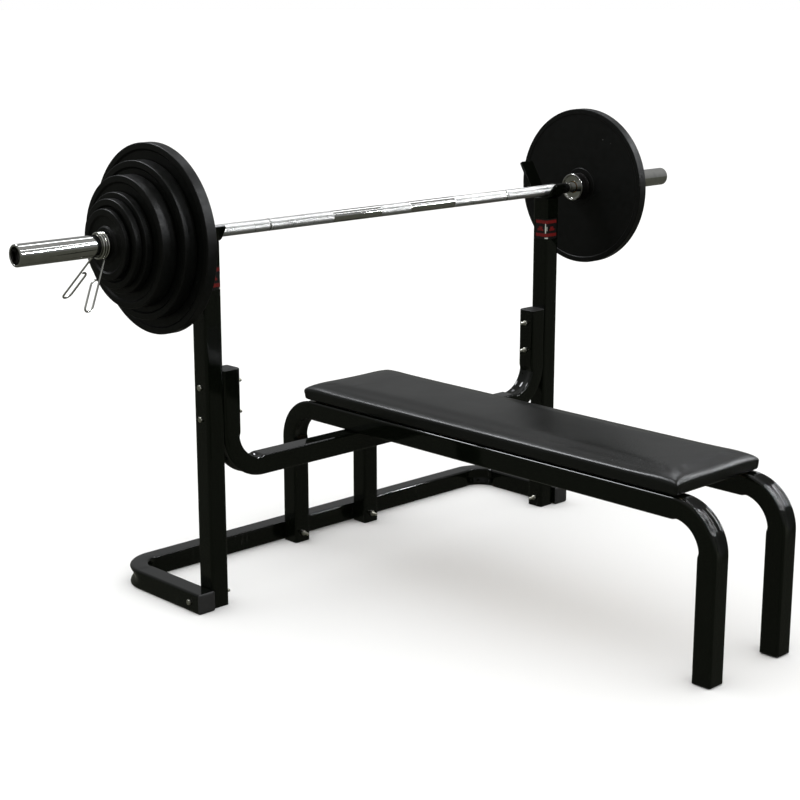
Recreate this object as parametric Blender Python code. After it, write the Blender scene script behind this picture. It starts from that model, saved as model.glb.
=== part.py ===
"""Olympic bench press: square-tube bench, padded board, and a loaded barbell in its cradles.

X runs along the bar, Y along the bench with the head end at +Y, Z is up. The floor is Z = 0.
Every dimension is in metres. Frame parts are placed from a datum empty on the floor, midway
between the uprights, in the plane of the uprights' foot-facing faces.
"""
import math

import bmesh
import bpy
from mathutils import Matrix, Vector

# ---------------------------------------------------------------- driving dimensions
GAP = 0.0003                      # air left between pieces that touch
CLEARANCE = 0.00035               # radial play of a bolt in its hole

TUBE = 0.050                      # square tube, outside
TUBE_WALL = 0.003
TUBE_CORNER = 0.005               # outside corner radius
BEND_STEPS = 6                    # facets in one 90 degree bend

UPRIGHT_OUTER_X = 0.6195          # outer face of each upright
UPRIGHT_TOP = 0.8905

BASE_Y = 0.2912                   # foot-facing face of the base cross run
BASE_BEND = 0.077                 # centreline radius
ARM_REACH = 0.0126                # arm end, ahead of the upright's foot-facing face

CROSS_TUBE_TOP = 0.3555
CROSS_BEND = 0.092
FLANGE_TOP = 0.5845

RAIL_CENTRE_X = 0.1264
RAIL_BEND = 0.092
FRONT_LEG_Y = -1.1228             # foot-facing face of the front legs

PAD_LENGTH = 1.219
PAD_WIDTH = 0.305
PAD_HEAD_Y = 0.2022
PAD_TOP = 0.4575
BOARD_THICKNESS = 0.012
BOARD_INSET = 0.010               # board edge inside the pad's outline
BOARD_CORNER = 0.020
PAD_CORNER = 0.024
PAD_FOOT_BOLT_Y = -0.86

PLUG_FLANGE = 0.004
PLUG_DEPTH = 0.020

CRADLE_WIDTH = 0.0485
CRADLE_PLATE = 0.006
CRADLE_BEND = 0.0212              # centreline radius
# the cradle's centreline seen from the side: (from the upright's foot-facing face, height)
CRADLE_REAR_TIP = (0.1035, 0.0940)
CRADLE_REAR_KNEE = (0.0488, 0.0030)
CRADLE_FRONT_KNEE = (-0.0025, 0.0030)
CRADLE_FRONT_TIP = (-0.0255, 0.0395)

BOLT_R = 0.004                    # M8
BOLT_HEAD_FLATS = 0.013
BOLT_HEAD_HEIGHT = 0.0053
NUT_HEIGHT = 0.0065
BOLT_TAIL = 0.014                 # thread showing past the nut
PAD_BOLT_SPARE = 0.004            # board left above the end of a pad bolt

BAR_Y = 0.0187                    # bar axis, from the datum
BAR_R = 0.015
BAR_AXIS_ABOVE_SADDLE = BAR_R + GAP
COLLAR_X = 0.6945                 # inboard face of the sleeve's fixed collar
COLLAR_R = 0.0375
COLLAR_DISH = 0.004
COLLAR_RIM = 0.004                # flat ring outside the dish
PLATES_X = 0.7285                 # where the first weight plate starts
SLEEVE_R = 0.025
SLEEVE_BORE_R = 0.017
SLEEVE_END_X = 1.100
SLEEVE_MOUTH_R = 0.0195           # wide recess in the sleeve's end
SLEEVE_MOUTH_DEPTH = 0.020
JOURNAL_R = 0.0125                # shaft inside the sleeve
BUSHING_LENGTH = 0.080
BUSHING_INSET = 0.004             # from the collar's dish
SLEEVE_BOLT_R = 0.006
SLEEVE_BOLT_DEPTH = 0.022
SLEEVE_BOLT_SPARE = 0.004         # drilled past the bolt's end
SLEEVE_BOLT_HEAD_R = 0.011
SLEEVE_BOLT_HEAD = 0.008          # head and washer together
SLEEVE_WASHER = 0.003

# weight plates, inner to outer: name, radius, thickness, hub radius, facets
PLATES = (
    ("45lb", 0.2160, 0.0270, 0.050, 28),
    ("35lb", 0.1785, 0.0320, 0.048, 28),
    ("25lb", 0.1485, 0.0380, 0.046, 20),
    ("10lb", 0.1130, 0.0180, 0.042, 20),
    ("5lb", 0.1000, 0.0175, 0.040, 16),
    ("2.5lb", 0.0790, 0.0125, 0.038, 16),
)
PLATE_RIM = 0.014                 # width of the raised rim
PLATE_RECESS = 0.004              # how far the web lies below rim and hub

WIRE_R = 0.00225
COIL_R = 0.0281                   # centreline of the collar's coil
COIL_TURNS = 3
COIL_PITCH = 0.0062
COIL_POINTS_PER_TURN = 16
HANDLE_REACH = 0.140              # handle tip, from the bar axis
HANDLE_FLARE = 0.050              # handle tip, outboard of the coil
HANDLE_LOOP_WIDTH = 0.020
HANDLE_LOOP_LENGTH = 0.066
HANDLE_START = 0.012              # straight wire begins this far out from the coil
OUTER_HANDLE_ANGLE = math.radians(31)     # from straight down, towards the head end
INNER_HANDLE_ANGLE = math.radians(-7)
LEAD_ARC = math.radians(8)        # stretch of coil that belongs to the moving handle
SQUEEZE_ARC = math.radians(22)    # left open between that stretch and the rest of the coil

# ---------------------------------------------------------------- worked-out places
# the datum is set so that the object, rear bolt heads included, is centred on the origin
DATUM_Y = -(FRONT_LEG_Y + BASE_Y + TUBE + GAP + BOLT_HEAD_HEIGHT) / 2
HALF = TUBE / 2
INSIDE = HALF - TUBE_WALL
RAIL_BOTTOM = CROSS_TUBE_TOP + GAP
RAIL_TOP = RAIL_BOTTOM + TUBE
BOARD_BOTTOM = RAIL_TOP + GAP
REAR_LEG_Y = BASE_Y - GAP - HALF          # leg centreline
UPRIGHT_X = UPRIGHT_OUTER_X - HALF        # upright centreline
FLANGE_X = UPRIGHT_OUTER_X - TUBE - GAP - HALF
ARM_X = UPRIGHT_OUTER_X + GAP + HALF
FLANGE_BOLTS_Z = (0.469, 0.546)
SADDLE_Z = UPRIGHT_TOP + GAP + CRADLE_PLATE
HANDLE_END_GAP = 3 * WIRE_R               # wire's end to the main run, centre to centre
BAR_Z = SADDLE_Z + BAR_AXIS_ABOVE_SADDLE
SIDES = (("left", -1), ("right", 1))

X_AXIS = Vector((1, 0, 0))
Y_AXIS = Vector((0, 1, 0))
Z_AXIS = Vector((0, 0, 1))


# ---------------------------------------------------------------- scene helpers
def clear_scene():
    for obj in list(bpy.data.objects):
        bpy.data.objects.remove(obj, do_unlink=True)


def material(name, colour, roughness, metallic=0.0):
    """A Principled material, made once and then shared."""
    found = bpy.data.materials.get(name)
    if found:
        return found
    made = bpy.data.materials.new(name)
    made.use_nodes = True
    shader = made.node_tree.nodes["Principled BSDF"]
    shader.inputs["Base Color"].default_value = (*colour, 1.0)
    shader.inputs["Roughness"].default_value = roughness
    shader.inputs["Metallic"].default_value = metallic
    made.diffuse_color = (*colour, 1.0)
    return made


def black_paint():
    return material("black_powder_coat", (0.012, 0.012, 0.013), 0.25)


def iron_paint():
    return material("black_iron_paint", (0.015, 0.015, 0.015), 0.45)


def zinc():
    return material("zinc_plate", (0.62, 0.62, 0.60), 0.35, 1.0)


def chrome():
    return material("chrome", (0.80, 0.80, 0.80), 0.10, 1.0)


def black_plastic():
    return material("black_plastic", (0.020, 0.020, 0.020), 0.5)


def empty(name, location, parent=None):
    made = bpy.data.objects.new(name, None)
    made.location = location
    made.parent = parent
    bpy.context.collection.objects.link(made)
    return made


def add_piece(name, bm, surface, parent, location=(0, 0, 0), direction=None, smooth=False):
    """Turn a bmesh into an object. Its local Z is turned to `direction` when one is given."""
    bmesh.ops.recalc_face_normals(bm, faces=bm.faces)
    mesh = bpy.data.meshes.new(name)
    bm.to_mesh(mesh)
    bm.free()
    if surface:
        mesh.materials.append(surface)
    if smooth:
        mesh.shade_smooth()
        mesh.set_sharp_from_angle(angle=math.radians(35))
    obj = bpy.data.objects.new(name, mesh)
    obj.location = location
    if direction is not None:
        obj.rotation_mode = "QUATERNION"
        obj.rotation_quaternion = Vector(direction).to_track_quat("Z", "Y")
    obj.parent = parent
    bpy.context.collection.objects.link(obj)
    return obj


# ---------------------------------------------------------------- shape helpers
def polygon(radius, sides, height):
    """Regular polygon with flats square to the axes when it has four or eight sides."""
    turn = math.pi / sides
    return [Vector((radius * math.cos(turn + 2 * math.pi * i / sides),
                    radius * math.sin(turn + 2 * math.pi * i / sides), height))
            for i in range(sides)]


def square(half, height, corner=0.0):
    """Square outline, its corners rounded by two facets when `corner` is given."""
    points = []
    for quarter in range(4):
        diagonal = math.pi / 4 + quarter * math.pi / 2
        centre = Vector((math.copysign(half - corner, math.cos(diagonal)),
                         math.copysign(half - corner, math.sin(diagonal)), height))
        if not corner:
            points.append(centre)
            continue
        for step in (-1, 0, 1):
            angle = diagonal + step * math.pi / 4
            points.append(centre + Vector((math.cos(angle), math.sin(angle), 0)) * corner)
    return points


def add_ring(bm, points):
    return [bm.verts.new(point) for point in points]


def ring_edges(bm, ring):
    edges = []
    for a, b in zip(ring, ring[1:] + ring[:1]):
        edges.append(bm.edges.get((a, b)) or bm.edges.new((a, b)))
    return edges


def skin(bm, first, second):
    """Quads between two rings of the same count."""
    for i in range(len(first)):
        j = (i + 1) % len(first)
        bm.faces.new((first[i], first[j], second[j], second[i]))


def fill_between(bm, outer, inner):
    """Flat face with a hole in it, between two rings of any counts in one plane."""
    edges = ring_edges(bm, outer) + ring_edges(bm, inner)
    bmesh.ops.triangle_fill(bm, use_beauty=True, edges=edges)


def stack(outlines):
    """Solid through a list of outlines; neighbours of unequal count lie in one plane."""
    bm = bmesh.new()
    rings = [add_ring(bm, outline) for outline in outlines]
    bm.faces.new(rings[0])
    for lower, upper in zip(rings, rings[1:]):
        if len(lower) == len(upper):
            skin(bm, lower, upper)
        else:
            fill_between(bm, lower, upper)
    bm.faces.new(rings[-1])
    return bm


def lathe(profile, sides, side):
    """Closed profile of (distance outboard, radius) turned about the bar's axis."""
    bm = bmesh.new()
    rings = []
    for out, radius in profile:
        rings.append(add_ring(bm, [Vector((side * out, point.x, point.y))
                                   for point in polygon(radius, sides, 0)]))
    for ring, following in zip(rings, rings[1:] + rings[:1]):
        skin(bm, ring, following)
    return bm


def bend_stations(corners, radius):
    """Points and tangents along a polyline whose corners are rounded to `radius`."""
    stations = [(corners[0], (corners[1] - corners[0]).normalized())]
    for before, corner, after in zip(corners, corners[1:], corners[2:]):
        way_in = (corner - before).normalized()
        way_out = (after - corner).normalized()
        turn = way_in.angle(way_out)
        start = corner - way_in * radius * math.tan(turn / 2)
        inward = (way_out - way_in * way_in.dot(way_out)).normalized()
        centre = start + inward * radius
        for step in range(BEND_STEPS + 1):
            angle = turn * step / BEND_STEPS
            point = centre - inward * radius * math.cos(angle) + way_in * radius * math.sin(angle)
            tangent = way_in * math.cos(angle) + inward * math.sin(angle)
            stations.append((point, tangent))
    stations.append((corners[-1], (corners[-1] - corners[-2]).normalized()))
    return stations


def square_tube(stations, binormal):
    """Hollow square tube along the stations, open at both ends."""
    bm = bmesh.new()
    outer_rings, inner_rings = [], []
    for point, tangent in stations:
        normal = binormal.cross(tangent)
        for rings, outline in ((outer_rings, square(HALF, 0, TUBE_CORNER)),
                               (inner_rings, square(INSIDE, 0))):
            rings.append(add_ring(bm, [point + normal * p.x + binormal * p.y for p in outline]))
    for rings in (outer_rings, inner_rings):
        for first, second in zip(rings, rings[1:]):
            skin(bm, first, second)
    for end in (0, -1):
        fill_between(bm, outer_rings[end], inner_rings[end])
    return bm


def drill(piece, holes, radius=BOLT_R + CLEARANCE):
    """Cut round holes, each given as (centre, direction, length)."""
    bm = bmesh.new()
    for centre, direction, length in holes:
        place = Matrix.Translation(centre) @ direction.to_track_quat("Z", "Y").to_matrix().to_4x4()
        low = add_ring(bm, [place @ p for p in polygon(radius, 8, -length / 2)])
        high = add_ring(bm, [place @ p for p in polygon(radius, 8, length / 2)])
        bm.faces.new(low)
        skin(bm, low, high)
        bm.faces.new(high)
    cutter = add_piece(piece.name + "_holes", bm, None, piece.parent, piece.location)
    cutter.hide_render = True
    cutter.display_type = "WIRE"
    cut = piece.modifiers.new("bolt_holes", "BOOLEAN")
    cut.operation = "DIFFERENCE"
    cut.solver = "EXACT"
    cut.object = cutter


def through_tube(centre, direction):
    return (Vector(centre), direction, TUBE + 0.010)


# ---------------------------------------------------------------- fasteners
def bolt(name, seat, direction, shank, parent):
    """Hex-head bolt: head bears at `seat`, shank runs on from it along `direction`."""
    hexagon_r = BOLT_HEAD_FLATS / 2 / math.cos(math.pi / 6)
    bm = stack([polygon(hexagon_r, 6, -BOLT_HEAD_HEIGHT), polygon(hexagon_r, 6, 0),
                polygon(BOLT_R, 8, 0), polygon(BOLT_R, 8, shank)])
    return add_piece(name, bm, zinc(), parent, seat, direction, smooth=True)


def nut(name, seat, direction, parent):
    """Hex nut bearing at `seat`, its body along `direction`."""
    hexagon_r = BOLT_HEAD_FLATS / 2 / math.cos(math.pi / 6)
    bm = bmesh.new()
    outer = [add_ring(bm, polygon(hexagon_r, 6, z)) for z in (0, NUT_HEIGHT)]
    inner = [add_ring(bm, polygon(BOLT_R + CLEARANCE, 8, z)) for z in (0, NUT_HEIGHT)]
    skin(bm, *outer)
    skin(bm, *inner)
    for level in (0, 1):
        fill_between(bm, outer[level], inner[level])
    return add_piece(name, bm, zinc(), parent, seat, direction, smooth=True)


def bolted(name, seat, direction, thickness, parent):
    """A bolt through `thickness` of metal with its nut on the far side."""
    direction = Vector(direction)
    seat = Vector(seat) - direction * GAP
    shank = thickness + 3 * GAP + NUT_HEIGHT + BOLT_TAIL
    bolt(name + "_bolt", seat, direction, shank, parent)
    nut(name + "_nut", seat + direction * (thickness + 2 * GAP), direction, parent)


def end_plug(name, place, inward, parent):
    """Plastic plug: a slab over the tube's end and a stub inside it."""
    stub = INSIDE - GAP
    bm = stack([square(HALF, 0, TUBE_CORNER), square(HALF, PLUG_FLANGE, TUBE_CORNER),
                square(stub, PLUG_FLANGE), square(stub, PLUG_FLANGE + PLUG_DEPTH)])
    return add_piece(name, bm, black_plastic(), parent, place, inward)


# ---------------------------------------------------------------- frame
def bench_rail(name, side, parent):
    """Rear leg, rail under the pad and front leg: one tube bent twice."""
    x = side * RAIL_CENTRE_X
    middle = RAIL_BOTTOM + HALF
    front_y = FRONT_LEG_Y + HALF
    corners = [Vector((x, REAR_LEG_Y, 0)), Vector((x, REAR_LEG_Y, middle)),
               Vector((x, front_y, middle)), Vector((x, front_y, PLUG_FLANGE + GAP))]
    rail = add_piece(name, square_tube(bend_stations(corners, RAIL_BEND), X_AXIS),
                     black_paint(), parent)
    drill(rail, [through_tube((x, REAR_LEG_Y, HALF), Y_AXIS),
                 through_tube((x, HALF, middle), Z_AXIS),
                 through_tube((x, PAD_FOOT_BOLT_Y, middle), Z_AXIS)])


def base_tube(parent):
    """Floor tube behind the bench, its arms running forward outside the uprights."""
    back_y = BASE_Y + HALF
    end_y = -ARM_REACH + PLUG_FLANGE + GAP
    corners = [Vector((-ARM_X, end_y, HALF)), Vector((-ARM_X, back_y, HALF)),
               Vector((ARM_X, back_y, HALF)), Vector((ARM_X, end_y, HALF))]
    base = add_piece("base_tube", square_tube(bend_stations(corners, BASE_BEND), Z_AXIS),
                     black_paint(), parent)
    drill(base, [through_tube((side * ARM_X, HALF, HALF), X_AXIS) for _, side in SIDES]
          + [through_tube((side * RAIL_CENTRE_X, back_y, HALF), Y_AXIS) for _, side in SIDES])


def cross_tube(parent):
    """Tube under the rails, its ends bent up beside the uprights."""
    middle = CROSS_TUBE_TOP - HALF
    top = FLANGE_TOP - PLUG_FLANGE - GAP
    corners = [Vector((-FLANGE_X, HALF, top)), Vector((-FLANGE_X, HALF, middle)),
               Vector((FLANGE_X, HALF, middle)), Vector((FLANGE_X, HALF, top))]
    cross = add_piece("cross_tube", square_tube(bend_stations(corners, CROSS_BEND), Y_AXIS),
                      black_paint(), parent)
    holes = [through_tube((side * RAIL_CENTRE_X, HALF, middle), Z_AXIS) for _, side in SIDES]
    for _, side in SIDES:
        for z in FLANGE_BOLTS_Z:
            holes.append(through_tube((side * FLANGE_X, HALF, z), X_AXIS))
    drill(cross, holes)


def upright(name, side, parent):
    x = side * UPRIGHT_X
    stations = [(Vector((x, HALF, 0)), Z_AXIS), (Vector((x, HALF, UPRIGHT_TOP)), Z_AXIS)]
    post = add_piece(name, square_tube(stations, Y_AXIS), black_paint(), parent)
    drill(post, [through_tube((x, HALF, z), X_AXIS) for z in (HALF, *FLANGE_BOLTS_Z)])


def bar_cradle(name, side, parent):
    """Bent plate: short front prong, flat saddle, tall rear prong, seen from the side."""
    corners = [Vector((0, *point)) for point in
               (CRADLE_REAR_TIP, CRADLE_REAR_KNEE, CRADLE_FRONT_KNEE, CRADLE_FRONT_TIP)]
    bm = bmesh.new()
    rings = []
    for point, tangent in bend_stations(corners, CRADLE_BEND):
        across = X_AXIS * CRADLE_WIDTH / 2
        through = X_AXIS.cross(tangent) * CRADLE_PLATE / 2
        rings.append(add_ring(bm, [point + across + through, point - across + through,
                                   point - across - through, point + across - through]))
    for ring, following in zip(rings, rings[1:]):
        skin(bm, ring, following)
    bm.faces.new(rings[0])
    bm.faces.new(rings[-1])
    add_piece(name, bm, black_paint(), parent, (side * UPRIGHT_X, 0, UPRIGHT_TOP + GAP))


def frame_fasteners(parent):
    tube_x = TUBE + GAP
    for word, side in SIDES:
        for level, z in zip(("lower", "upper"), FLANGE_BOLTS_Z):
            bolted(f"{word}_{level}_flange", (side * UPRIGHT_OUTER_X, HALF, z), (-side, 0, 0),
                   tube_x + TUBE, parent)
        bolted(f"{word}_arm", (side * (ARM_X + HALF), HALF, HALF), (-side, 0, 0),
               tube_x + TUBE, parent)
        bolted(f"{word}_rear_leg", (side * RAIL_CENTRE_X, BASE_Y + TUBE, HALF), (0, -1, 0),
               tube_x + TUBE, parent)
        bolt(f"{word}_long_pad_bolt",
             Vector((side * RAIL_CENTRE_X, HALF, CROSS_TUBE_TOP - TUBE - GAP)), Z_AXIS,
             2 * TUBE + 3 * GAP + BOARD_THICKNESS - PAD_BOLT_SPARE, parent)
        bolt(f"{word}_pad_bolt",
             Vector((side * RAIL_CENTRE_X, PAD_FOOT_BOLT_Y, RAIL_BOTTOM - GAP)), Z_AXIS,
             TUBE + 2 * GAP + BOARD_THICKNESS - PAD_BOLT_SPARE, parent)


def plugs(parent):
    for word, side in SIDES:
        end_plug(f"{word}_front_foot", (side * RAIL_CENTRE_X, FRONT_LEG_Y + HALF, 0),
                 Z_AXIS, parent)
        end_plug(f"{word}_arm_plug", (side * ARM_X, -ARM_REACH, HALF), Y_AXIS, parent)
        end_plug(f"{word}_flange_plug", (side * FLANGE_X, HALF, FLANGE_TOP), -Z_AXIS, parent)


# ---------------------------------------------------------------- pad
def rounded_rectangle(half_x, half_y, corner, height, steps=4):
    points = []
    for quarter in range(4):
        start = quarter * math.pi / 2
        sign_x = 1 if quarter in (0, 3) else -1
        sign_y = 1 if quarter in (0, 1) else -1
        for step in range(steps + 1):
            angle = start + step / steps * math.pi / 2
            points.append(Vector((sign_x * (half_x - corner) + corner * math.cos(angle),
                                  sign_y * (half_y - corner) + corner * math.sin(angle),
                                  height)))
    return points


def pad_board(parent):
    half_x = PAD_WIDTH / 2 - BOARD_INSET
    half_y = PAD_LENGTH / 2 - BOARD_INSET
    centre_y = PAD_HEAD_Y - PAD_LENGTH / 2
    bm = stack([rounded_rectangle(half_x, half_y, BOARD_CORNER, z, 2)
                for z in (0, BOARD_THICKNESS)])
    board = add_piece("pad_board", bm, material("plywood", (0.55, 0.40, 0.25), 0.7), parent,
                      (0, centre_y, BOARD_BOTTOM))
    holes = []
    for _, side in SIDES:
        for y in (HALF, PAD_FOOT_BOLT_Y):
            centre = Vector((side * RAIL_CENTRE_X, y - centre_y, BOARD_THICKNESS / 2))
            holes.append((centre, Z_AXIS, 2 * BOARD_THICKNESS))
    drill(board, holes)


def bench_pad(parent):
    """Crowned cushion with a pocket underneath for its board."""
    half_x, half_y = PAD_WIDTH / 2, PAD_LENGTH / 2
    depth = PAD_TOP - BOARD_BOTTOM
    # inset from the outline and height, as parts of the cushion's depth
    crown = ((0.003, 0.02), (0.0, 0.16), (0.0, 0.55), (0.004, 0.72), (0.014, 0.85),
             (0.034, 0.94), (0.070, 1.0))
    outlines = [rounded_rectangle(half_x - inset, half_y - inset, PAD_CORNER, depth * part)
                for inset, part in crown]
    pocket_x, pocket_y = half_x - BOARD_INSET + GAP, half_y - BOARD_INSET + GAP
    roof = BOARD_THICKNESS + GAP
    base = outlines[0][0].z
    pocket = [rounded_rectangle(pocket_x, pocket_y, BOARD_CORNER, z, 2) for z in (roof, base)]
    bm = stack(pocket + outlines)
    add_piece("bench_pad", bm, material("black_vinyl", (0.018, 0.018, 0.019), 0.35), parent,
              (0, PAD_HEAD_Y - half_y, BOARD_BOTTOM), smooth=True)


# ---------------------------------------------------------------- barbell
def bar_shaft(parent):
    """Gripping length, then a thinner journal inside each sleeve, drilled for the end bolt."""
    journal_x = COLLAR_X + COLLAR_DISH - GAP
    end_x = SLEEVE_END_X - SLEEVE_MOUTH_DEPTH - 2 * GAP
    bottom_x = end_x - SLEEVE_BOLT_DEPTH - SLEEVE_BOLT_SPARE
    hole_r = SLEEVE_BOLT_R + CLEARANCE
    half = [(bottom_x, hole_r), (end_x, hole_r), (end_x, JOURNAL_R), (journal_x, JOURNAL_R),
            (journal_x, BAR_R)]
    bm = bmesh.new()
    rings = []
    for out, radius in [(-x, r) for x, r in half] + half[::-1]:
        rings.append(add_ring(bm, [Vector((out, p.x, p.y)) for p in polygon(radius, 16, 0)]))
    for ring, following in zip(rings, rings[1:]):
        skin(bm, ring, following)
    bm.faces.new(rings[0])
    bm.faces.new(rings[-1])
    add_piece("bar_shaft", bm, chrome(), parent, smooth=True)


def sleeve(word, side, parent):
    """Rotating sleeve with its fixed collar; the collar's inboard face is dished."""
    rim_r = COLLAR_R - COLLAR_RIM
    dish_r = rim_r - COLLAR_DISH / 2
    floor_x = SLEEVE_END_X - SLEEVE_MOUTH_DEPTH
    profile = [(COLLAR_X + COLLAR_DISH, SLEEVE_BORE_R), (COLLAR_X + COLLAR_DISH, dish_r),
               (COLLAR_X, rim_r), (COLLAR_X, COLLAR_R),
               (PLATES_X - GAP, COLLAR_R), (PLATES_X - GAP, SLEEVE_R),
               (SLEEVE_END_X, SLEEVE_R), (SLEEVE_END_X, SLEEVE_MOUTH_R),
               (floor_x, SLEEVE_MOUTH_R), (floor_x, SLEEVE_BORE_R)]
    add_piece(f"{word}_sleeve", lathe(profile, 24, side), chrome(), parent, smooth=True)


def bushing(word, side, parent):
    start = COLLAR_X + COLLAR_DISH + BUSHING_INSET
    profile = [(start, JOURNAL_R + CLEARANCE), (start, SLEEVE_BORE_R - 2 * CLEARANCE),
               (start + BUSHING_LENGTH, SLEEVE_BORE_R - 2 * CLEARANCE),
               (start + BUSHING_LENGTH, JOURNAL_R + CLEARANCE)]
    bronze = material("bronze", (0.60, 0.40, 0.20), 0.4, 1.0)
    add_piece(f"{word}_bushing", lathe(profile, 16, side), bronze, parent, smooth=True)


def sleeve_bolt(word, side, parent):
    """Hex bolt with a wide washer face that keeps the sleeve on the shaft."""
    washer_r = SLEEVE_MOUTH_R - 2 * CLEARANCE
    bm = stack([polygon(SLEEVE_BOLT_HEAD_R, 6, -SLEEVE_BOLT_HEAD),
                polygon(SLEEVE_BOLT_HEAD_R, 6, -SLEEVE_WASHER),
                polygon(washer_r, 16, -SLEEVE_WASHER), polygon(washer_r, 16, 0),
                polygon(SLEEVE_BOLT_R, 8, 0), polygon(SLEEVE_BOLT_R, 8, SLEEVE_BOLT_DEPTH)])
    seat = side * (SLEEVE_END_X - SLEEVE_MOUTH_DEPTH + GAP)
    add_piece(f"{word}_sleeve_bolt", bm, material("black_oxide", (0.04, 0.04, 0.04), 0.4, 1.0),
              parent, (seat, 0, 0), (-side, 0, 0), smooth=True)


def weight_plate(name, side, start, radius, thickness, hub, sides, parent):
    """Iron plate: flat back, and a web set in between the raised rim and hub in front."""
    bore = (SLEEVE_R + 2 * CLEARANCE) / math.cos(math.pi / sides)
    face = thickness - GAP
    web = face - PLATE_RECESS
    rim = radius - PLATE_RIM
    profile = [(0, bore), (0, radius), (face, radius), (face, rim), (web, rim - PLATE_RECESS),
               (web, hub + PLATE_RECESS), (face, hub), (face, bore)]
    add_piece(name, lathe(profile, sides, side), iron_paint(), parent,
              (side * start, 0, 0), smooth=True)


# ---------------------------------------------------------------- spring collars
def wire(name, points, parent, location):
    curve = bpy.data.curves.new(name, "CURVE")
    curve.dimensions = "3D"
    curve.bevel_depth = WIRE_R
    curve.bevel_resolution = 1
    curve.use_fill_caps = True
    spline = curve.splines.new("POLY")
    spline.points.add(len(points) - 1)
    for spot, point in zip(spline.points, points):
        spot.co = (*point, 1.0)
    curve.materials.append(chrome())
    obj = bpy.data.objects.new(name, curve)
    obj.location = location
    obj.parent = parent
    bpy.context.collection.objects.link(obj)
    return obj


def around(radius, angle, out, side):
    """Point at `radius` from the bar's axis, `angle` from straight down."""
    return Vector((side * out, radius * math.sin(angle), -radius * math.cos(angle)))


def handle_points(angle, root, side, folds):
    """Wire from the coil out to the tip, round the tip and back: a long closed loop.

    `folds` is +1 when the return run lies outboard of the main run, -1 when inboard.
    """
    def on_handle(reach, across):
        part = (reach - COIL_R) / (HANDLE_REACH - COIL_R)
        return around(reach, angle, root + HANDLE_FLARE * part + folds * across, side)

    width = HANDLE_LOOP_WIDTH
    bend = width / 2
    tip = HANDLE_REACH - bend
    back = HANDLE_REACH - HANDLE_LOOP_LENGTH + bend
    points = [on_handle(COIL_R + HANDLE_START, 0.0)]
    for eighth in range(5):
        turn = eighth * math.pi / 4
        points.append(on_handle(tip + bend * math.sin(turn), bend - bend * math.cos(turn)))
    for eighth in range(3):
        turn = eighth * math.pi / 4
        points.append(on_handle(back - bend * math.sin(turn), bend + bend * math.cos(turn)))
    points.append(on_handle(back - bend, HANDLE_END_GAP))
    return points


def spring_collar(word, side, start, axis):
    """Coil of wire; its outboard end carries the fixed handle, its inboard end the moving one."""
    root = WIRE_R + GAP
    sweep = 2 * math.pi * COIL_TURNS + OUTER_HANDLE_ANGLE - INNER_HANDLE_ANGLE

    def helix(first, last):
        steps = max(2, round((last - first) / (2 * math.pi) * COIL_POINTS_PER_TURN))
        turns = [first + (last - first) * i / steps for i in range(steps + 1)]
        return [around(COIL_R, INNER_HANDLE_ANGLE + turn,
                       root + COIL_PITCH * turn / (2 * math.pi), side) for turn in turns]

    place = (side * start, 0, 0)
    end = root + COIL_PITCH * sweep / (2 * math.pi)
    coil = helix(LEAD_ARC + SQUEEZE_ARC, sweep)
    wire(f"{word}_collar_coil", coil + handle_points(OUTER_HANDLE_ANGLE, end, side, -1),
         axis, place)
    lead = helix(0, LEAD_ARC)[::-1]
    wire(f"{word}_collar_handle", lead + handle_points(INNER_HANDLE_ANGLE, root, side, 1),
         axis, place)


# ---------------------------------------------------------------- assembly
def build_bench(datum):
    for word, side in SIDES:
        bench_rail(f"{word}_bench_rail", side, datum)
        upright(f"{word}_upright", side, datum)
        bar_cradle(f"{word}_bar_cradle", side, datum)
    base_tube(datum)
    cross_tube(datum)
    plugs(datum)
    pad_board(datum)
    bench_pad(datum)
    frame_fasteners(datum)


def build_barbell(axis):
    bar_shaft(axis)
    for word, side in SIDES:
        sleeve(word, side, axis)
        bushing(word, side, axis)
        sleeve_bolt(word, side, axis)
        start = PLATES_X
        for label, radius, thickness, hub, sides in PLATES:
            weight_plate(f"{word}_plate_{label}", side, start, radius, thickness, hub, sides, axis)
            start += thickness
        spring_collar(word, side, start, axis)


clear_scene()
bench_datum = empty("bench_datum", (0, DATUM_Y, 0))
bar_axis = empty("bar_axis", (0, BAR_Y, BAR_Z), bench_datum)
build_bench(bench_datum)
build_barbell(bar_axis)
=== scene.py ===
"""Olympic bench press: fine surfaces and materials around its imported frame.

Metres, in the frame's own axes: X along the bar, Y towards the head end, Z up, floor at Z = 0.
Most frame nodes are facetted stand-ins, and a finer piece with the same place and size replaces
each of them here. Places are read from the frame's boxes.
"""

import math

import bmesh
import bpy
import numpy as np
from mathutils import Matrix, Vector


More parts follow.
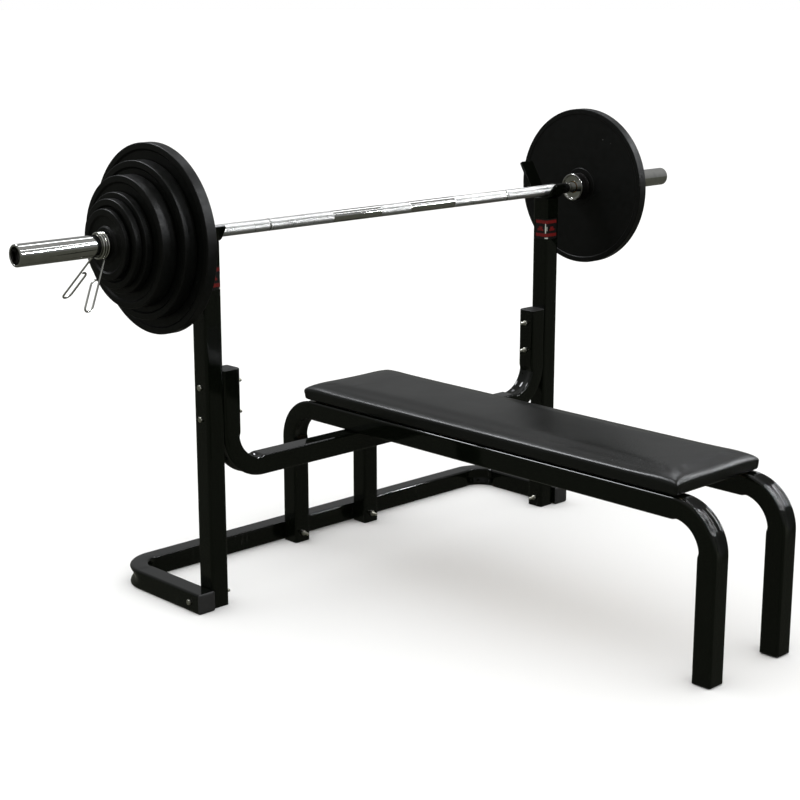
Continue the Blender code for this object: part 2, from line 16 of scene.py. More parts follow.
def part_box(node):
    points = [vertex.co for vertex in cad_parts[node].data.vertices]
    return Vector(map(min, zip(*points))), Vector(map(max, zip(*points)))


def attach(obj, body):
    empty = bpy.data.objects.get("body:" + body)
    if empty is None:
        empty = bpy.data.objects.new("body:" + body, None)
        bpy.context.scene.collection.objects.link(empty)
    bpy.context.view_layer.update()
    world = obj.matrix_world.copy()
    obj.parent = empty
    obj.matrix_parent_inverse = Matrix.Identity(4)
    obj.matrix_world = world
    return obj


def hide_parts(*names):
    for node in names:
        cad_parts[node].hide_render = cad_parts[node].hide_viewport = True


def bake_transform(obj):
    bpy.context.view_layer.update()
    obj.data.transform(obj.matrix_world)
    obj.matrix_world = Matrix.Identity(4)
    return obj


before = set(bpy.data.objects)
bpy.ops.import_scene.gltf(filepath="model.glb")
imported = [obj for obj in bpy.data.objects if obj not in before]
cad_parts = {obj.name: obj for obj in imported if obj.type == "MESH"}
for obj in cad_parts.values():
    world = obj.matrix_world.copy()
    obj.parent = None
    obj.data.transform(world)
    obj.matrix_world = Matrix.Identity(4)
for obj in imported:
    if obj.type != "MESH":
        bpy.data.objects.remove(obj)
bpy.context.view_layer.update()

# ---------------------------------------------------------------- sizes the boxes don't give
GAP = 0.0003
SIDES = (("left", -1), ("right", 1))
X_AXIS = Vector((1, 0, 0))
Y_AXIS = Vector((0, 1, 0))
Z_AXIS = Vector((0, 0, 1))

TUBE_WALL = 0.003
TUBE_CORNER = 0.0055
RAIL_BEND = 0.092                 # centreline radii of the bent tubes
CROSS_BEND = 0.092
BASE_BEND = 0.077
BEND_RAMP = 0.010                 # half the length over which the inner wall's step fades in
VALLEY_RAMP = 0.021               # the same for the outer wall's valley
OUTER_VALLEY = 0.0085             # how deep the outer wall of a bend sinks between its ridges
INNER_PRESS = 0.0040              # how far the whole inner wall is pushed in
INNER_VALLEY = 0.0045
SIDE_BULGE = 0.0008
PLUG_FLANGE = 0.004
TUBE_MOUTH = 0.028                # how far the hollow of a tube runs in from its end
STRAIGHT_STEP = 0.05
BEND_STEP = 0.003

CRADLE_PLATE = 0.006
CRADLE_BEND = 0.0212
CRADLE_REAR_TIP = (0.1035, 0.0940)
CRADLE_REAR_KNEE = (0.0488, 0.0030)
CRADLE_FRONT_KNEE = (-0.0025, 0.0030)
CRADLE_FRONT_TIP = (-0.0255, 0.0395)
CRADLE_TIP_CORNER = 0.007
WELD_R = 0.0022
WELD_INSET = 0.001

BOLT_R = 0.004
BOLT_HEAD = 0.0053
BOLT_FLATS = 0.013
THREAD_PITCH = 0.00125
THREAD_DEPTH = 0.00077
THREADED = 0.025                  # length of the thread, which reaches in past the nut
ROUND_SIDES = 36                  # sides of bolts and nuts, six to a flat

BAR_R = 0.015
SLEEVE_R = 0.025
COLLAR_R = 0.0375
PLATE_RADII = {"45lb": 0.2160, "35lb": 0.1785, "25lb": 0.1485, "10lb": 0.1130, "5lb": 0.1000,
               "2.5lb": 0.0790}
PLATE_HUBS = {"45lb": 0.050, "35lb": 0.048, "25lb": 0.046, "10lb": 0.042, "5lb": 0.040,
              "2.5lb": 0.038}
PLATE_RIM = 0.014
PLATE_RECESS = 0.004
PLATE_BACK_RECESS = 0.0014
PLATE_EDGE = 0.0022

WIRE_R = 0.00225
COIL_R = 0.0281
COIL_TURNS = 3
COIL_PITCH = 0.0062
HANDLE_REACH = 0.140
HANDLE_FLARE = 0.050
HANDLE_LOOP_WIDTH = 0.020
HANDLE_LOOP_LENGTH = 0.066
OUTER_HANDLE_ANGLE = math.radians(31)
INNER_HANDLE_ANGLE = math.radians(-7)

upright_low, upright_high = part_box("right_upright")
TUBE = upright_high.x - upright_low.x
HALF = TUBE / 2
INSIDE = HALF - TUBE_WALL
UPRIGHT_TOP = upright_high.z
FOOT_FACE = upright_low.y         # the uprights' face on the foot side
shaft_low, shaft_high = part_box("bar_shaft")
BAR_Y = (shaft_low.y + shaft_high.y) / 2
BAR_Z = (shaft_low.z + shaft_high.z) / 2
BAR_AXIS = Vector((0, BAR_Y, BAR_Z))


# ---------------------------------------------------------------- materials
class Look:
    """A Principled material whose sockets are fed from patterns in object space."""

    def __init__(self, name, colour, roughness, **constants):
        self.material = bpy.data.materials.new(name)
        self.material.use_nodes = True
        self.tree = self.material.node_tree
        self.shader = self.tree.nodes["Principled BSDF"]
        self.shader.inputs["Base Color"].default_value = (*colour, 1)
        self.shader.inputs["Roughness"].default_value = roughness
        for socket, value in constants.items():
            self.shader.inputs[socket.replace("_", " ")].default_value = value
        self.coords = self.tree.nodes.new("ShaderNodeTexCoord").outputs["Object"]

    def feed(self, source, target):
        if isinstance(source, bpy.types.NodeSocket):
            self.tree.links.new(source, target)
        else:
            target.default_value = source

    def scaled(self, x, y, z):
        """Object coordinates stretched by a factor along each axis."""
        node = self.tree.nodes.new("ShaderNodeMapping")
        node.inputs["Scale"].default_value = (x, y, z)
        self.feed(self.coords, node.inputs["Vector"])
        return node.outputs["Vector"]

    def noise(self, scale, detail=3.0, coords=None, distortion=0.0):
        node = self.tree.nodes.new("ShaderNodeTexNoise")
        node.inputs["Scale"].default_value = scale
        node.inputs["Detail"].default_value = detail
        node.inputs["Distortion"].default_value = distortion
        self.feed(coords or self.coords, node.inputs["Vector"])
        return node.outputs["Fac"]

    def cells(self, scale, feature="F1"):
        node = self.tree.nodes.new("ShaderNodeTexVoronoi")
        node.feature = feature
        node.inputs["Scale"].default_value = scale
        self.feed(self.coords, node.inputs["Vector"])
        return node.outputs["Distance"]

    def levels(self, source, low, high, to_low=0.0, to_high=1.0):
        node = self.tree.nodes.new("ShaderNodeMapRange")
        for name, value in (("From Min", low), ("From Max", high),
                            ("To Min", to_low), ("To Max", to_high)):
            node.inputs[name].default_value = value
        self.feed(source, node.inputs["Value"])
        return node.outputs["Result"]

    def maths(self, operation, first, second):
        node = self.tree.nodes.new("ShaderNodeMath")
        node.operation = operation
        self.feed(first, node.inputs[0])
        self.feed(second, node.inputs[1])
        return node.outputs["Value"]

    def mixed(self, factor, first, second):
        node = self.tree.nodes.new("ShaderNodeMix")
        node.data_type = "RGBA"
        for socket, value in zip((node.inputs[0], node.inputs[6], node.inputs[7]),
                                 (factor, first, second)):
            self.feed((*value, 1) if isinstance(value, tuple) else value, socket)
        return node.outputs[2]

    def height_along(self, axis):
        node = self.tree.nodes.new("ShaderNodeSeparateXYZ")
        self.feed(self.coords, node.inputs["Vector"])
        return node.outputs[axis]

    def colour(self, output):
        self.feed(output, self.shader.inputs["Base Color"])

    def roughness(self, output):
        self.feed(output, self.shader.inputs["Roughness"])

    def relief(self, height, distance, strength=1.0):
        node = self.tree.nodes.new("ShaderNodeBump")
        node.inputs["Strength"].default_value = strength
        node.inputs["Distance"].default_value = distance
        self.feed(height, node.inputs["Height"])
        self.feed(node.outputs["Normal"], self.shader.inputs["Normal"])


def powder_coat():
    """Gloss black powder coat: faint orange peel, dust, and scuffs close to the floor."""
    look = Look("gloss_black_powder_coat", (0.003, 0.004, 0.003), 0.12, Specular_IOR_Level=0.24)
    cloud = look.noise(7, 4)
    dust = look.levels(look.noise(420, 6), 0.66, 0.80)
    scratches = look.levels(look.noise(160, 2, look.scaled(1, 1, 0.06), 0.6), 0.70, 0.74)
    near_floor = look.levels(look.height_along("Z"), 0.09, 0.0)
    scuff = look.maths("MULTIPLY", scratches, near_floor)
    black = look.mixed(cloud, (0.0008, 0.0012, 0.0006), (0.0020, 0.0026, 0.0016))
    dusty = look.mixed(look.maths("MULTIPLY", dust, 0.20), black, (0.030, 0.031, 0.028))
    look.colour(look.mixed(scuff, dusty, (0.014, 0.014, 0.013)))
    gloss = look.levels(look.noise(30, 5), 0.3, 0.7, 0.05, 0.09)
    look.roughness(look.maths("ADD", gloss, look.maths("MULTIPLY", scuff, 0.12)))
    look.relief(look.noise(420, 2), 0.0003, 0.02)
    return look.material


def iron_paint():
    """Satin black paint over cast iron, with pinholes and a few chips."""
    look = Look("satin_black_cast_iron", (0.003, 0.003, 0.003), 0.4, Specular_IOR_Level=0.14)
    cast = look.noise(260, 5)
    swell = look.noise(45, 3)
    chips = look.levels(look.cells(38), 0.055, 0.035)
    rare = look.levels(look.noise(11, 2), 0.60, 0.66)
    chipped = look.maths("MULTIPLY", chips, rare)
    black = look.mixed(swell, (0.0008, 0.0010, 0.0007), (0.0024, 0.0026, 0.0021))
    look.colour(look.mixed(chipped, black, (0.16, 0.16, 0.155)))
    look.roughness(look.levels(look.noise(70, 5), 0.3, 0.7, 0.34, 0.50))
    height = look.maths("ADD", cast, look.maths("MULTIPLY", swell, 1.4))
    look.relief(look.maths("SUBTRACT", height, chipped), 0.0006, 0.22)
    return look.material


def chrome(name, rough, tint):
    """Plated steel with fine turning marks round the bar and soft handling marks."""
    look = Look(name, tint, rough[0], Metallic=1.0)
    streaks = look.noise(40, 3, look.scaled(40, 1, 1))
    smudge = look.noise(24, 4, distortion=1.2)
    darker = tuple(value * 0.82 for value in tint)
    look.colour(look.mixed(look.levels(smudge, 0.35, 0.75), tint, darker))
    mean = look.maths("MULTIPLY", look.maths("ADD", streaks, smudge), 0.5)
    look.roughness(look.levels(mean, 0.35, 0.65, *rough))
    look.relief(streaks, 0.00005, 0.08)
    return look.material


def mottled(name, base, shades, grain, gloss_grain, gloss, relief=None, **constants):
    """Two close shades mixed by one noise, with another noise in the gloss."""
    look = Look(name, *base, **constants)
    look.colour(look.mixed(look.noise(*grain), *shades))
    look.roughness(look.levels(look.noise(*gloss_grain), 0.3, 0.7, *gloss))
    if relief:
        scale, distance, strength = relief
        look.relief(look.noise(scale, 2), distance, strength)
    return look.material


def vinyl():
    """Black upholstery vinyl: small pebbled grain, slightly worn to gloss in patches."""
    look = Look("black_vinyl", (0.004, 0.004, 0.004), 0.36, Specular_IOR_Level=0.26)
    pebbles = look.cells(620, "SMOOTH_F1")
    creases = look.noise(300, 4, distortion=0.8)
    worn = look.noise(5, 3)
    look.colour(look.mixed(worn, (0.0016, 0.0020, 0.0014), (0.0040, 0.0044, 0.0036)))
    gloss = look.levels(worn, 0.35, 0.65, 0.25, 0.34)
    look.roughness(look.maths("ADD", gloss, look.maths("MULTIPLY", creases, 0.06)))
    height = look.maths("ADD", pebbles, look.maths("MULTIPLY", creases, 0.5))
    look.relief(height, 0.0005, 0.20)
    return look.material


def plywood():
    """Rotary-cut plywood: long grain on the faces, plies showing on the edges."""
    look = Look("plywood", (0.42, 0.28, 0.15), 0.62)
    grain = look.noise(22, 6, look.scaled(9, 1, 30), 1.5)
    plies = look.levels(look.noise(1, 0, look.scaled(0.1, 0.1, 460)), 0.45, 0.55)
    veneer = look.mixed(grain, (0.33, 0.20, 0.10), (0.58, 0.42, 0.25))
    look.colour(look.mixed(look.maths("MULTIPLY", plies, 0.35), veneer, (0.20, 0.12, 0.06)))
    look.roughness(look.levels(grain, 0.3, 0.7, 0.55, 0.72))
    look.relief(grain, 0.0004, 0.3)
    return look.material


def film(name, dark, light):
    return mottled(name, (light, 0.3), (dark, light), (240, 4), (500, 3), (0.24, 0.36),
                   Specular_IOR_Level=0.18)


POWDER_COAT = powder_coat()
IRON_PAINT = iron_paint()
CHROME = chrome("bright_chrome", (0.03, 0.08), (0.46, 0.46, 0.44))
SPRING_CHROME = chrome("spring_wire_chrome", (0.08, 0.18), (0.58, 0.58, 0.54))
KNURL_CHROME = chrome("knurled_chrome", (0.26, 0.38), (0.46, 0.46, 0.45))
ZINC = mottled("zinc_plate", ((0.55, 0.55, 0.50), 0.32),
               ((0.36, 0.36, 0.31), (0.55, 0.54, 0.47)), (320, 4), (700, 4),
               (0.24, 0.44), (1500, 0.0001, 0.25), Metallic=1.0)
# dark oxide for the sleeve bolts, also laid on the collars' outer walls as a painted reflection of
# the dark plates
BLACK_OXIDE_AND_PAINTED_REFLECTION = mottled("black_oxide_steel_and_painted_reflection", ((0.05, 0.05, 0.052), 0.38),
                      ((0.030, 0.030, 0.033), (0.085, 0.080, 0.072)), (300, 4), (600, 4),
                      (0.30, 0.50), Metallic=1.0)
BRONZE = mottled("sintered_bronze", ((0.55, 0.36, 0.18), 0.4),
                 ((0.45, 0.28, 0.13), (0.66, 0.45, 0.24)), (400, 4), (900, 3),
                 (0.32, 0.50), (2200, 0.0001, 0.4), Metallic=1.0)
VINYL = vinyl()
PLYWOOD = plywood()
PLASTIC = mottled("black_moulded_plastic", ((0.010, 0.010, 0.010), 0.45),
                  ((0.011, 0.011, 0.011), (0.019, 0.019, 0.018)), (60, 3), (350, 4),
                  (0.38, 0.55), (1400, 0.0002, 0.35), Specular_IOR_Level=0.2)
RED_FILM = film("red_film", (0.055, 0.003, 0.003), (0.130, 0.006, 0.005))
# white film, used only for the painted highlight down the decal's rounded corner
PAINTED_HIGHLIGHT_FILM = film("painted_highlight_film", (0.26, 0.27, 0.23), (0.46, 0.47, 0.42))
BLACK_FILM = film("black_film", (0.0030, 0.0030, 0.0030), (0.0060, 0.0050, 0.0050))


# ---------------------------------------------------------------- mesh helpers
def smoothstep(value):
    value = min(max(value, 0.0), 1.0)
    return value * value * (3 - 2 * value)


def add_piece(name, bm, surface, body, nodes=(), sharp=35):
    """Make an object of a bmesh, and tie it to its body and its nodes."""
    bmesh.ops.recalc_face_normals(bm, faces=bm.faces)
    mesh = bpy.data.meshes.new(name)
    bm.to_mesh(mesh)
    bm.free()
    mesh.materials.append(surface)
    mesh.shade_smooth()
    mesh.set_sharp_from_angle(angle=math.radians(sharp))
    obj = bpy.data.objects.new(name, mesh)
    bpy.context.scene.collection.objects.link(obj)
    if sharp < 180:
        normals = obj.modifiers.new("flat_faces", "WEIGHTED_NORMAL")
        normals.keep_sharp = True
    if body:
        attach(obj, body)
    if nodes:
        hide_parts(*nodes)
    return obj


def add_ring(bm, points):
    return [bm.verts.new(point) for point in points]


def skin(bm, first, second):
    """Quads between two rings of the same count."""
    for i in range(len(first)):
        j = (i + 1) % len(first)
        bm.faces.new((first[i], first[j], second[j], second[i]))


def loft(bm, outlines, close=False):
    """Skin through rings; the ends are capped, or joined to each other when `close` is set."""
    rings = [add_ring(bm, outline) for outline in outlines]
    for ring, following in zip(rings, rings[1:]):
        skin(bm, ring, following)
    if close:
        skin(bm, rings[-1], rings[0])
    else:
        bm.faces.new(rings[0])
        bm.faces.new(rings[-1])
    return bm


def circle(radius, sides, height=0.0):
    return [Vector((radius * math.cos(2 * math.pi * i / sides),
                    radius * math.sin(2 * math.pi * i / sides), height)) for i in range(sides)]


def fillet(points, radii, steps=4):
    """Closed flat outline with each corner rounded to its own radius."""
    rounded = []
    for i, (corner, radius) in enumerate(zip(points, radii)):
        corner = Vector(corner)
        back = Vector(points[i - 1]) - corner
        ahead = Vector(points[(i + 1) % len(points)]) - corner
        if not radius:
            rounded.append(corner)
            continue
        half = back.angle(ahead) / 2
        reach = min(radius / math.tan(half), 0.49 * back.length, 0.49 * ahead.length)
        middle = (back.normalized() + ahead.normalized()).normalized()
        centre = corner + middle * reach / math.cos(half)
        start = corner + back.normalized() * reach - centre
        end = corner + ahead.normalized() * reach - centre
        turn = start.angle(end)
        for step in range(steps + 1):
            part = turn * step / steps
            rounded.append(centre + (start * math.sin(turn - part) + end * math.sin(part))
                           / math.sin(turn))
    return rounded


def turned(profile, sides, side, start_x=0.0):
    """Closed profile of (distance outboard, radius) turned about the bar's axis."""
    outlines = [[BAR_AXIS + Vector((side * (start_x + out), p.x, p.y))
                 for p in circle(radius, sides)] for out, radius in profile]
    return loft(bmesh.new(), outlines, close=True)


def square_section(half, corner, flat_steps=10, corner_steps=5):
    """Rounded square as (outward, sideways) pairs, its flats finely divided."""
    flat = half - corner
    points = []
    for quarter in range(4):
        outward = Vector((math.cos(quarter * math.pi / 2), math.sin(quarter * math.pi / 2)))
        along = Vector((-outward.y, outward.x))
        for step in range(flat_steps + 1):
            points.append(outward * half + along * flat * (2 * step / flat_steps - 1))
        for step in range(1, corner_steps):
            angle = step / corner_steps * math.pi / 2
            points.append((outward + along) * flat
                          + (outward * math.cos(angle) + along * math.sin(angle)) * corner)
    return points


# ---------------------------------------------------------------- bent square tubes
class BentPath:
    """A polyline with its corners rounded, read by the distance along it."""

    def __init__(self, corners, radius):
        self.spans = []
        self.bends = []
        travelled, spot = 0.0, corners[0]
        for before, corner, after in zip(corners, corners[1:], corners[2:]):
            way_in = (corner - before).normalized()
            way_out = (after - corner).normalized()
            turn = way_in.angle(way_out)
            start = corner - way_in * radius * math.tan(turn / 2)
            travelled = self.add(travelled, (start - spot).length, spot, way_in, None, 0)
            inward = (way_out - way_in * way_in.dot(way_out)).normalized()
            self.bends.append((travelled, travelled + radius * turn))
            travelled = self.add(travelled, radius * turn, start, way_in, inward, radius)
            spot = corner + way_out * radius * math.tan(turn / 2)
        last_way = (corners[-1] - corners[-2]).normalized()
        self.length = self.add(travelled, (corners[-1] - spot).length, spot, last_way, None, 0)

    def add(self, travelled, length, spot, way, inward, radius):
        self.spans.append((travelled, travelled + length, spot, way, inward, radius))
        return travelled + length

    def at(self, distance):
        """Point and direction at a distance along the path."""
        for start, end, spot, way, inward, radius in self.spans:
            if distance <= end or end == self.length:
                break
        if inward is None:
            return spot + way * (distance - start), way
        angle = (distance - start) / radius
        point = spot + inward * radius * (1 - math.cos(angle)) + way * radius * math.sin(angle)
        return point, way * math.cos(angle) + inward * math.sin(angle)

    def stations(self):
        """Distances along the path, close together in and about its bends."""
        marks, distance = [0.0], 0.0
        reach = 2 * VALLEY_RAMP
        while distance < self.length:
            near = any(start - reach - STRAIGHT_STEP < distance < end + reach
                       for start, end in self.bends)
            distance += BEND_STEP if near else STRAIGHT_STEP
            marks.append(min(distance, self.length))
        return marks

    def bend_share(self, distance, ramp):
        """1 inside a bend, 0 on a straight, smooth between them."""
        share = 0.0
        for start, end in self.bends:
            rise = smoothstep((distance - start + ramp * 0.5) / (2 * ramp))
            fall = smoothstep((end + ramp * 0.5 - distance) / (2 * ramp))
            share = max(share, rise * fall)
        return share


def pressed(point, outer, inner):
    """A section point after bending: both curved walls sink between two ridges."""
    outward, sideways = point
    ridge = HALF - TUBE_CORNER * 0.6
    sink = math.cos(math.pi / 2 * min(abs(sideways) / ridge, 1.0)) ** 2
    level = outward / HALF
    if level > 0:
        outward -= outer * OUTER_VALLEY * sink * level
    else:
        outward -= inner * (INNER_PRESS + INNER_VALLEY * sink) * level
    sideways += math.copysign(inner * SIDE_BULGE * (1 - level * level), sideways)
    return outward, sideways


def square_tube(name, corners, radius, binormal):
    """Bent square tube, hollow for a short way at each end."""
    path = BentPath(corners, radius)
    _, first_way = path.at(0)
    outward_sign = 1
    if path.bends:
        inward = path.spans[1][4]
        outward_sign = -1 if binormal.cross(first_way).dot(inward) > 0 else 1
    section = square_section(HALF, TUBE_CORNER)
    hollow = square_section(INSIDE, TUBE_WALL * 0.7)

    def ring(distance, outline, bent=False):
        point, way = path.at(distance)
        outward = binormal.cross(way) * outward_sign
        outer = path.bend_share(distance, VALLEY_RAMP) if bent else 0
        inner = path.bend_share(distance, BEND_RAMP) if bent else 0
        spots = [pressed(p, outer, inner) for p in outline]
        return [point + outward * n + binormal * b for n, b in spots]

    outlines = [ring(TUBE_MOUTH, hollow), ring(0, hollow)]
    outlines += [ring(mark, section, True) for mark in path.stations()]
    outlines += [ring(path.length, hollow), ring(path.length - TUBE_MOUTH, hollow)]
    add_piece(f"{name}_skin", loft(bmesh.new(), outlines), POWDER_COAT, "bench", [name])


def bench_rails():
    for word, _ in SIDES:
        low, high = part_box(f"{word}_bench_rail")
        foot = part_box(f"{word}_front_foot")[0].z + PLUG_FLANGE + GAP
        x = (low.x + high.x) / 2
        corners = [Vector((x, high.y - HALF, low.z)), Vector((x, high.y - HALF, high.z - HALF)),
                   Vector((x, low.y + HALF, high.z - HALF)), Vector((x, low.y + HALF, foot))]
        square_tube(f"{word}_bench_rail", corners, RAIL_BEND, X_AXIS)


def base_tube():
    low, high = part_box("base_tube")
    corners = [Vector((low.x + HALF, low.y, HALF)), Vector((low.x + HALF, high.y - HALF, HALF)),
               Vector((high.x - HALF, high.y - HALF, HALF)), Vector((high.x - HALF, low.y, HALF))]
    square_tube("base_tube", corners, BASE_BEND, Z_AXIS)


def cross_tube():
    low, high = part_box("cross_tube")
    y, floor = (low.y + high.y) / 2, low.z + HALF
    corners = [Vector((low.x + HALF, y, high.z)), Vector((low.x + HALF, y, floor)),
               Vector((high.x - HALF, y, floor)), Vector((high.x - HALF, y, high.z))]
    square_tube("cross_tube", corners, CROSS_BEND, Y_AXIS)


def uprights():
    for word, _ in SIDES:
        low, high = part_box(f"{word}_upright")
        x, y = (low.x + high.x) / 2, (low.y + high.y) / 2
        square_tube(f"{word}_upright", [Vector((x, y, low.z)), Vector((x, y, high.z))], 0, Y_AXIS)


def plug(node, inward):
    """Moulded end plug: a flange with rounded edges and a ribbed stub."""
    low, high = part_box(node)
    middle = (low + high) / 2
    reach = abs((high - low).dot(inward))
    place = Matrix.Translation(middle - inward * reach / 2) @ (
        inward.to_track_quat("Z", "Y").to_matrix().to_4x4())
    stub = INSIDE - GAP
    levels = [(0.0, HALF - 0.0100, 0.0040), (0.0004, HALF - 0.0048, 0.0045),
              (0.0011, HALF - 0.0024, 0.0050), (0.0021, HALF - 0.0008, 0.0053),
              (0.0031, HALF, TUBE_CORNER),
              (PLUG_FLANGE, HALF, TUBE_CORNER), (PLUG_FLANGE, stub, 0.002)]
    ribs = 4
    for rib in range(ribs):
        start = PLUG_FLANGE + 0.001 + (reach - PLUG_FLANGE - 0.002) * rib / ribs
        levels += [(start, stub - 0.0012, 0.002), (start + 0.0015, stub - 0.0012, 0.002),
                   (start + 0.0022, stub, 0.002), (start + 0.0030, stub - 0.0010, 0.002)]
    levels.append((reach, stub - 0.0015, 0.002))
    outlines = [[place @ Vector((p.x, p.y, level)) for p in square_section(half, corner, 2, 5)]
                for level, half, corner in levels]
    add_piece(f"{node}_moulding", loft(bmesh.new(), outlines), PLASTIC, "bench", [node])


# ---------------------------------------------------------------- bar cradles
def bar_cradle(word):
    """Bent plate with rounded tips and eased edges, welded on top of its upright."""
    low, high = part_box(f"{word}_bar_cradle")
    x = (low.x + high.x) / 2
    half_width = (high.x - low.x) / 2
    base = Vector((x, FOOT_FACE, UPRIGHT_TOP + GAP))
    corners = [base + Vector((0, *spot)) for spot in
               (CRADLE_REAR_TIP, CRADLE_REAR_KNEE, CRADLE_FRONT_KNEE, CRADLE_FRONT_TIP)]
    path = BentPath(corners, CRADLE_BEND)
    ease = 0.0009
    half_plate = CRADLE_PLATE / 2
    corner = CRADLE_TIP_CORNER

    def half_width_at(distance):
        inside = min(distance, path.length - distance)
        if inside >= corner:
            return half_width
        return half_width - corner + math.sqrt(max(corner ** 2 - (corner - inside) ** 2, 0))

    marks = [corner * (1 - math.cos(step / 6 * math.pi / 2)) for step in range(6)]
    middle = np.linspace(corner, path.length - corner, 56)
    marks = marks + list(middle) + [path.length - mark for mark in reversed(marks)]
    outlines = []
    for mark in marks:
        point, way = path.at(mark)
        through = X_AXIS.cross(way)
        across = half_width_at(mark)
        thick = half_plate if ease < mark < path.length - ease else half_plate - ease
        outline = fillet([(across, thick), (-across, thick), (-across, -thick), (across, -thick)],
                         [ease] * 4, 3)
        outlines.append([point + X_AXIS * p.x + through * p.y for p in outline])
    add_piece(f"{word}_cradle_plate", loft(bmesh.new(), outlines), POWDER_COAT, "bench",
              [f"{word}_bar_cradle"])


def weld_bead(name, start, end, lean):
    """Rippled fillet weld along a straight joint, bulging towards `lean`."""
    length = (end - start).length
    way = (end - start).normalized()
    up = way.cross(lean).normalized()
    per_ripple, ripples = 8, 14
    steps = per_ripple * ripples
    outlines = []
    for step in range(steps + 1):
        part = step / steps
        taper = math.sqrt(max(1 - abs(2 * part - 1) ** 12, 0.02))
        swell = WELD_R * taper * (1 + 0.10 * math.cos(2 * math.pi * step / per_ripple))
        sag = 0.0002 * math.sin(2 * math.pi * step / 29)
        spot = start + way * length * part
        outlines.append([spot + up * (p.y * swell + sag) + lean * p.x * swell
                         for p in circle(1, 12)])
    add_piece(name, loft(bmesh.new(), outlines), POWDER_COAT, "bench", ())


def cradle_welds(word):
    low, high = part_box(f"{word}_upright")
    for edge, x, lean in (("outer", low.x, -X_AXIS), ("inner", high.x, X_AXIS)):
        start = Vector((x - lean.x * WELD_INSET, low.y + TUBE_CORNER, high.z + GAP))
        end = Vector((start.x, high.y - TUBE_CORNER, start.z))
        weld_bead(f"{word}_cradle_{edge}_weld", start, end, lean)


# ---------------------------------------------------------------- fasteners
def hexagon(flats, limit=None):
    """Hexagon outline sampled round the circle, cut off at a radius when `limit` is given."""
    points = []
    for i in range(ROUND_SIDES):
        angle = 2 * math.pi * i / ROUND_SIDES
        from_flat = (angle % (math.pi / 3)) - math.pi / 6
        radius = flats / 2 / math.cos(from_flat)
        if limit:
            radius = min(radius, limit)
        points.append(Vector((radius * math.cos(angle), radius * math.sin(angle))))
    return points


def raised(points, height):
    return [Vector((p.x, p.y, height)) for p in points]


def disc(radius, height):
    return circle(radius, ROUND_SIDES, height)


def placed(outlines, place):
    return [[place @ p for p in outline] for outline in outlines]


def along(node, direction):
    """Matrix whose local Z runs along `direction` from the node's near end, and the length."""
    low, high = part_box(node)
    reach = abs((high - low).dot(direction))
    start = (low + high) / 2 - direction * reach / 2
    turn = direction.to_track_quat("Z", "Y").to_matrix().to_4x4()
    return Matrix.Translation(start) @ turn, reach


def hex_head(flats, height):
    """Rings of a chamfered hexagon head, top first."""
    edge = flats / 2
    return [disc(edge * 0.90, 0.0), raised(hexagon(flats, limit=edge * 1.02), 0.0006),
            raised(hexagon(flats, limit=edge * 1.10), 0.0013), raised(hexagon(flats), 0.0022),
            raised(hexagon(flats), height - 0.0006), disc(edge * 0.94, height - 0.0005),
            disc(edge * 0.94, height)]


def threads(radius, start, end):
    """Rings of a V thread from `start` to a chamfered tip at `end`."""
    rings = []
    height = start
    while height + THREAD_PITCH < end - 0.001:
        rings += [disc(radius - THREAD_DEPTH, height + THREAD_PITCH * 0.08),
                  disc(radius, height + THREAD_PITCH * 0.45),
                  disc(radius, height + THREAD_PITCH * 0.60)]
        height += THREAD_PITCH
    rings += [disc(radius - THREAD_DEPTH, end - 0.0009),
              disc(radius - THREAD_DEPTH * 1.3, end)]
    return rings


def hex_bolt(node, direction):
    place, reach = along(node, direction)
    rings = hex_head(BOLT_FLATS, BOLT_HEAD)
    rings += [disc(BOLT_R, BOLT_HEAD), disc(BOLT_R, reach - THREADED)]
    rings += threads(BOLT_R, reach - THREADED + 0.0002, reach)
    add_piece(f"{node}_turned", loft(bmesh.new(), placed(rings, place)), ZINC, "bench", [node])


def hex_nut(node, direction):
    place, reach = along(node, direction)
    edge = BOLT_FLATS / 2
    bore = BOLT_R + GAP
    rings = [disc(bore + 0.0006, 0.0), disc(edge * 0.94, 0.0),
             raised(hexagon(BOLT_FLATS, limit=edge * 1.03), 0.0007),
             raised(hexagon(BOLT_FLATS), 0.0019), raised(hexagon(BOLT_FLATS), reach - 0.0019),
             raised(hexagon(BOLT_FLATS, limit=edge * 1.03), reach - 0.0007),
             disc(edge * 0.92, reach), disc(bore + 0.0006, reach),
             disc(bore, reach - 0.0006), disc(bore, 0.0006)]
    add_piece(f"{node}_turned", loft(bmesh.new(), placed(rings, place), close=True), ZINC,
              "bench", [node])


def fasteners():
    for word, side in SIDES:
        inboard = X_AXIS * -side
        for name, direction in ((f"{word}_lower_flange", inboard), (f"{word}_arm", inboard),
                                (f"{word}_upper_flange", inboard),
                                (f"{word}_rear_leg", -Y_AXIS)):
            hex_bolt(f"{name}_bolt", direction)
            hex_nut(f"{name}_nut", direction)
        for name in (f"{word}_long_pad_bolt", f"{word}_pad_bolt"):
            hex_bolt(name, Z_AXIS)


# ---------------------------------------------------------------- decals
FILM_THICKNESS = 0.00008
FILM_LIFT = 0.0001                # film above the paint, and print above the film


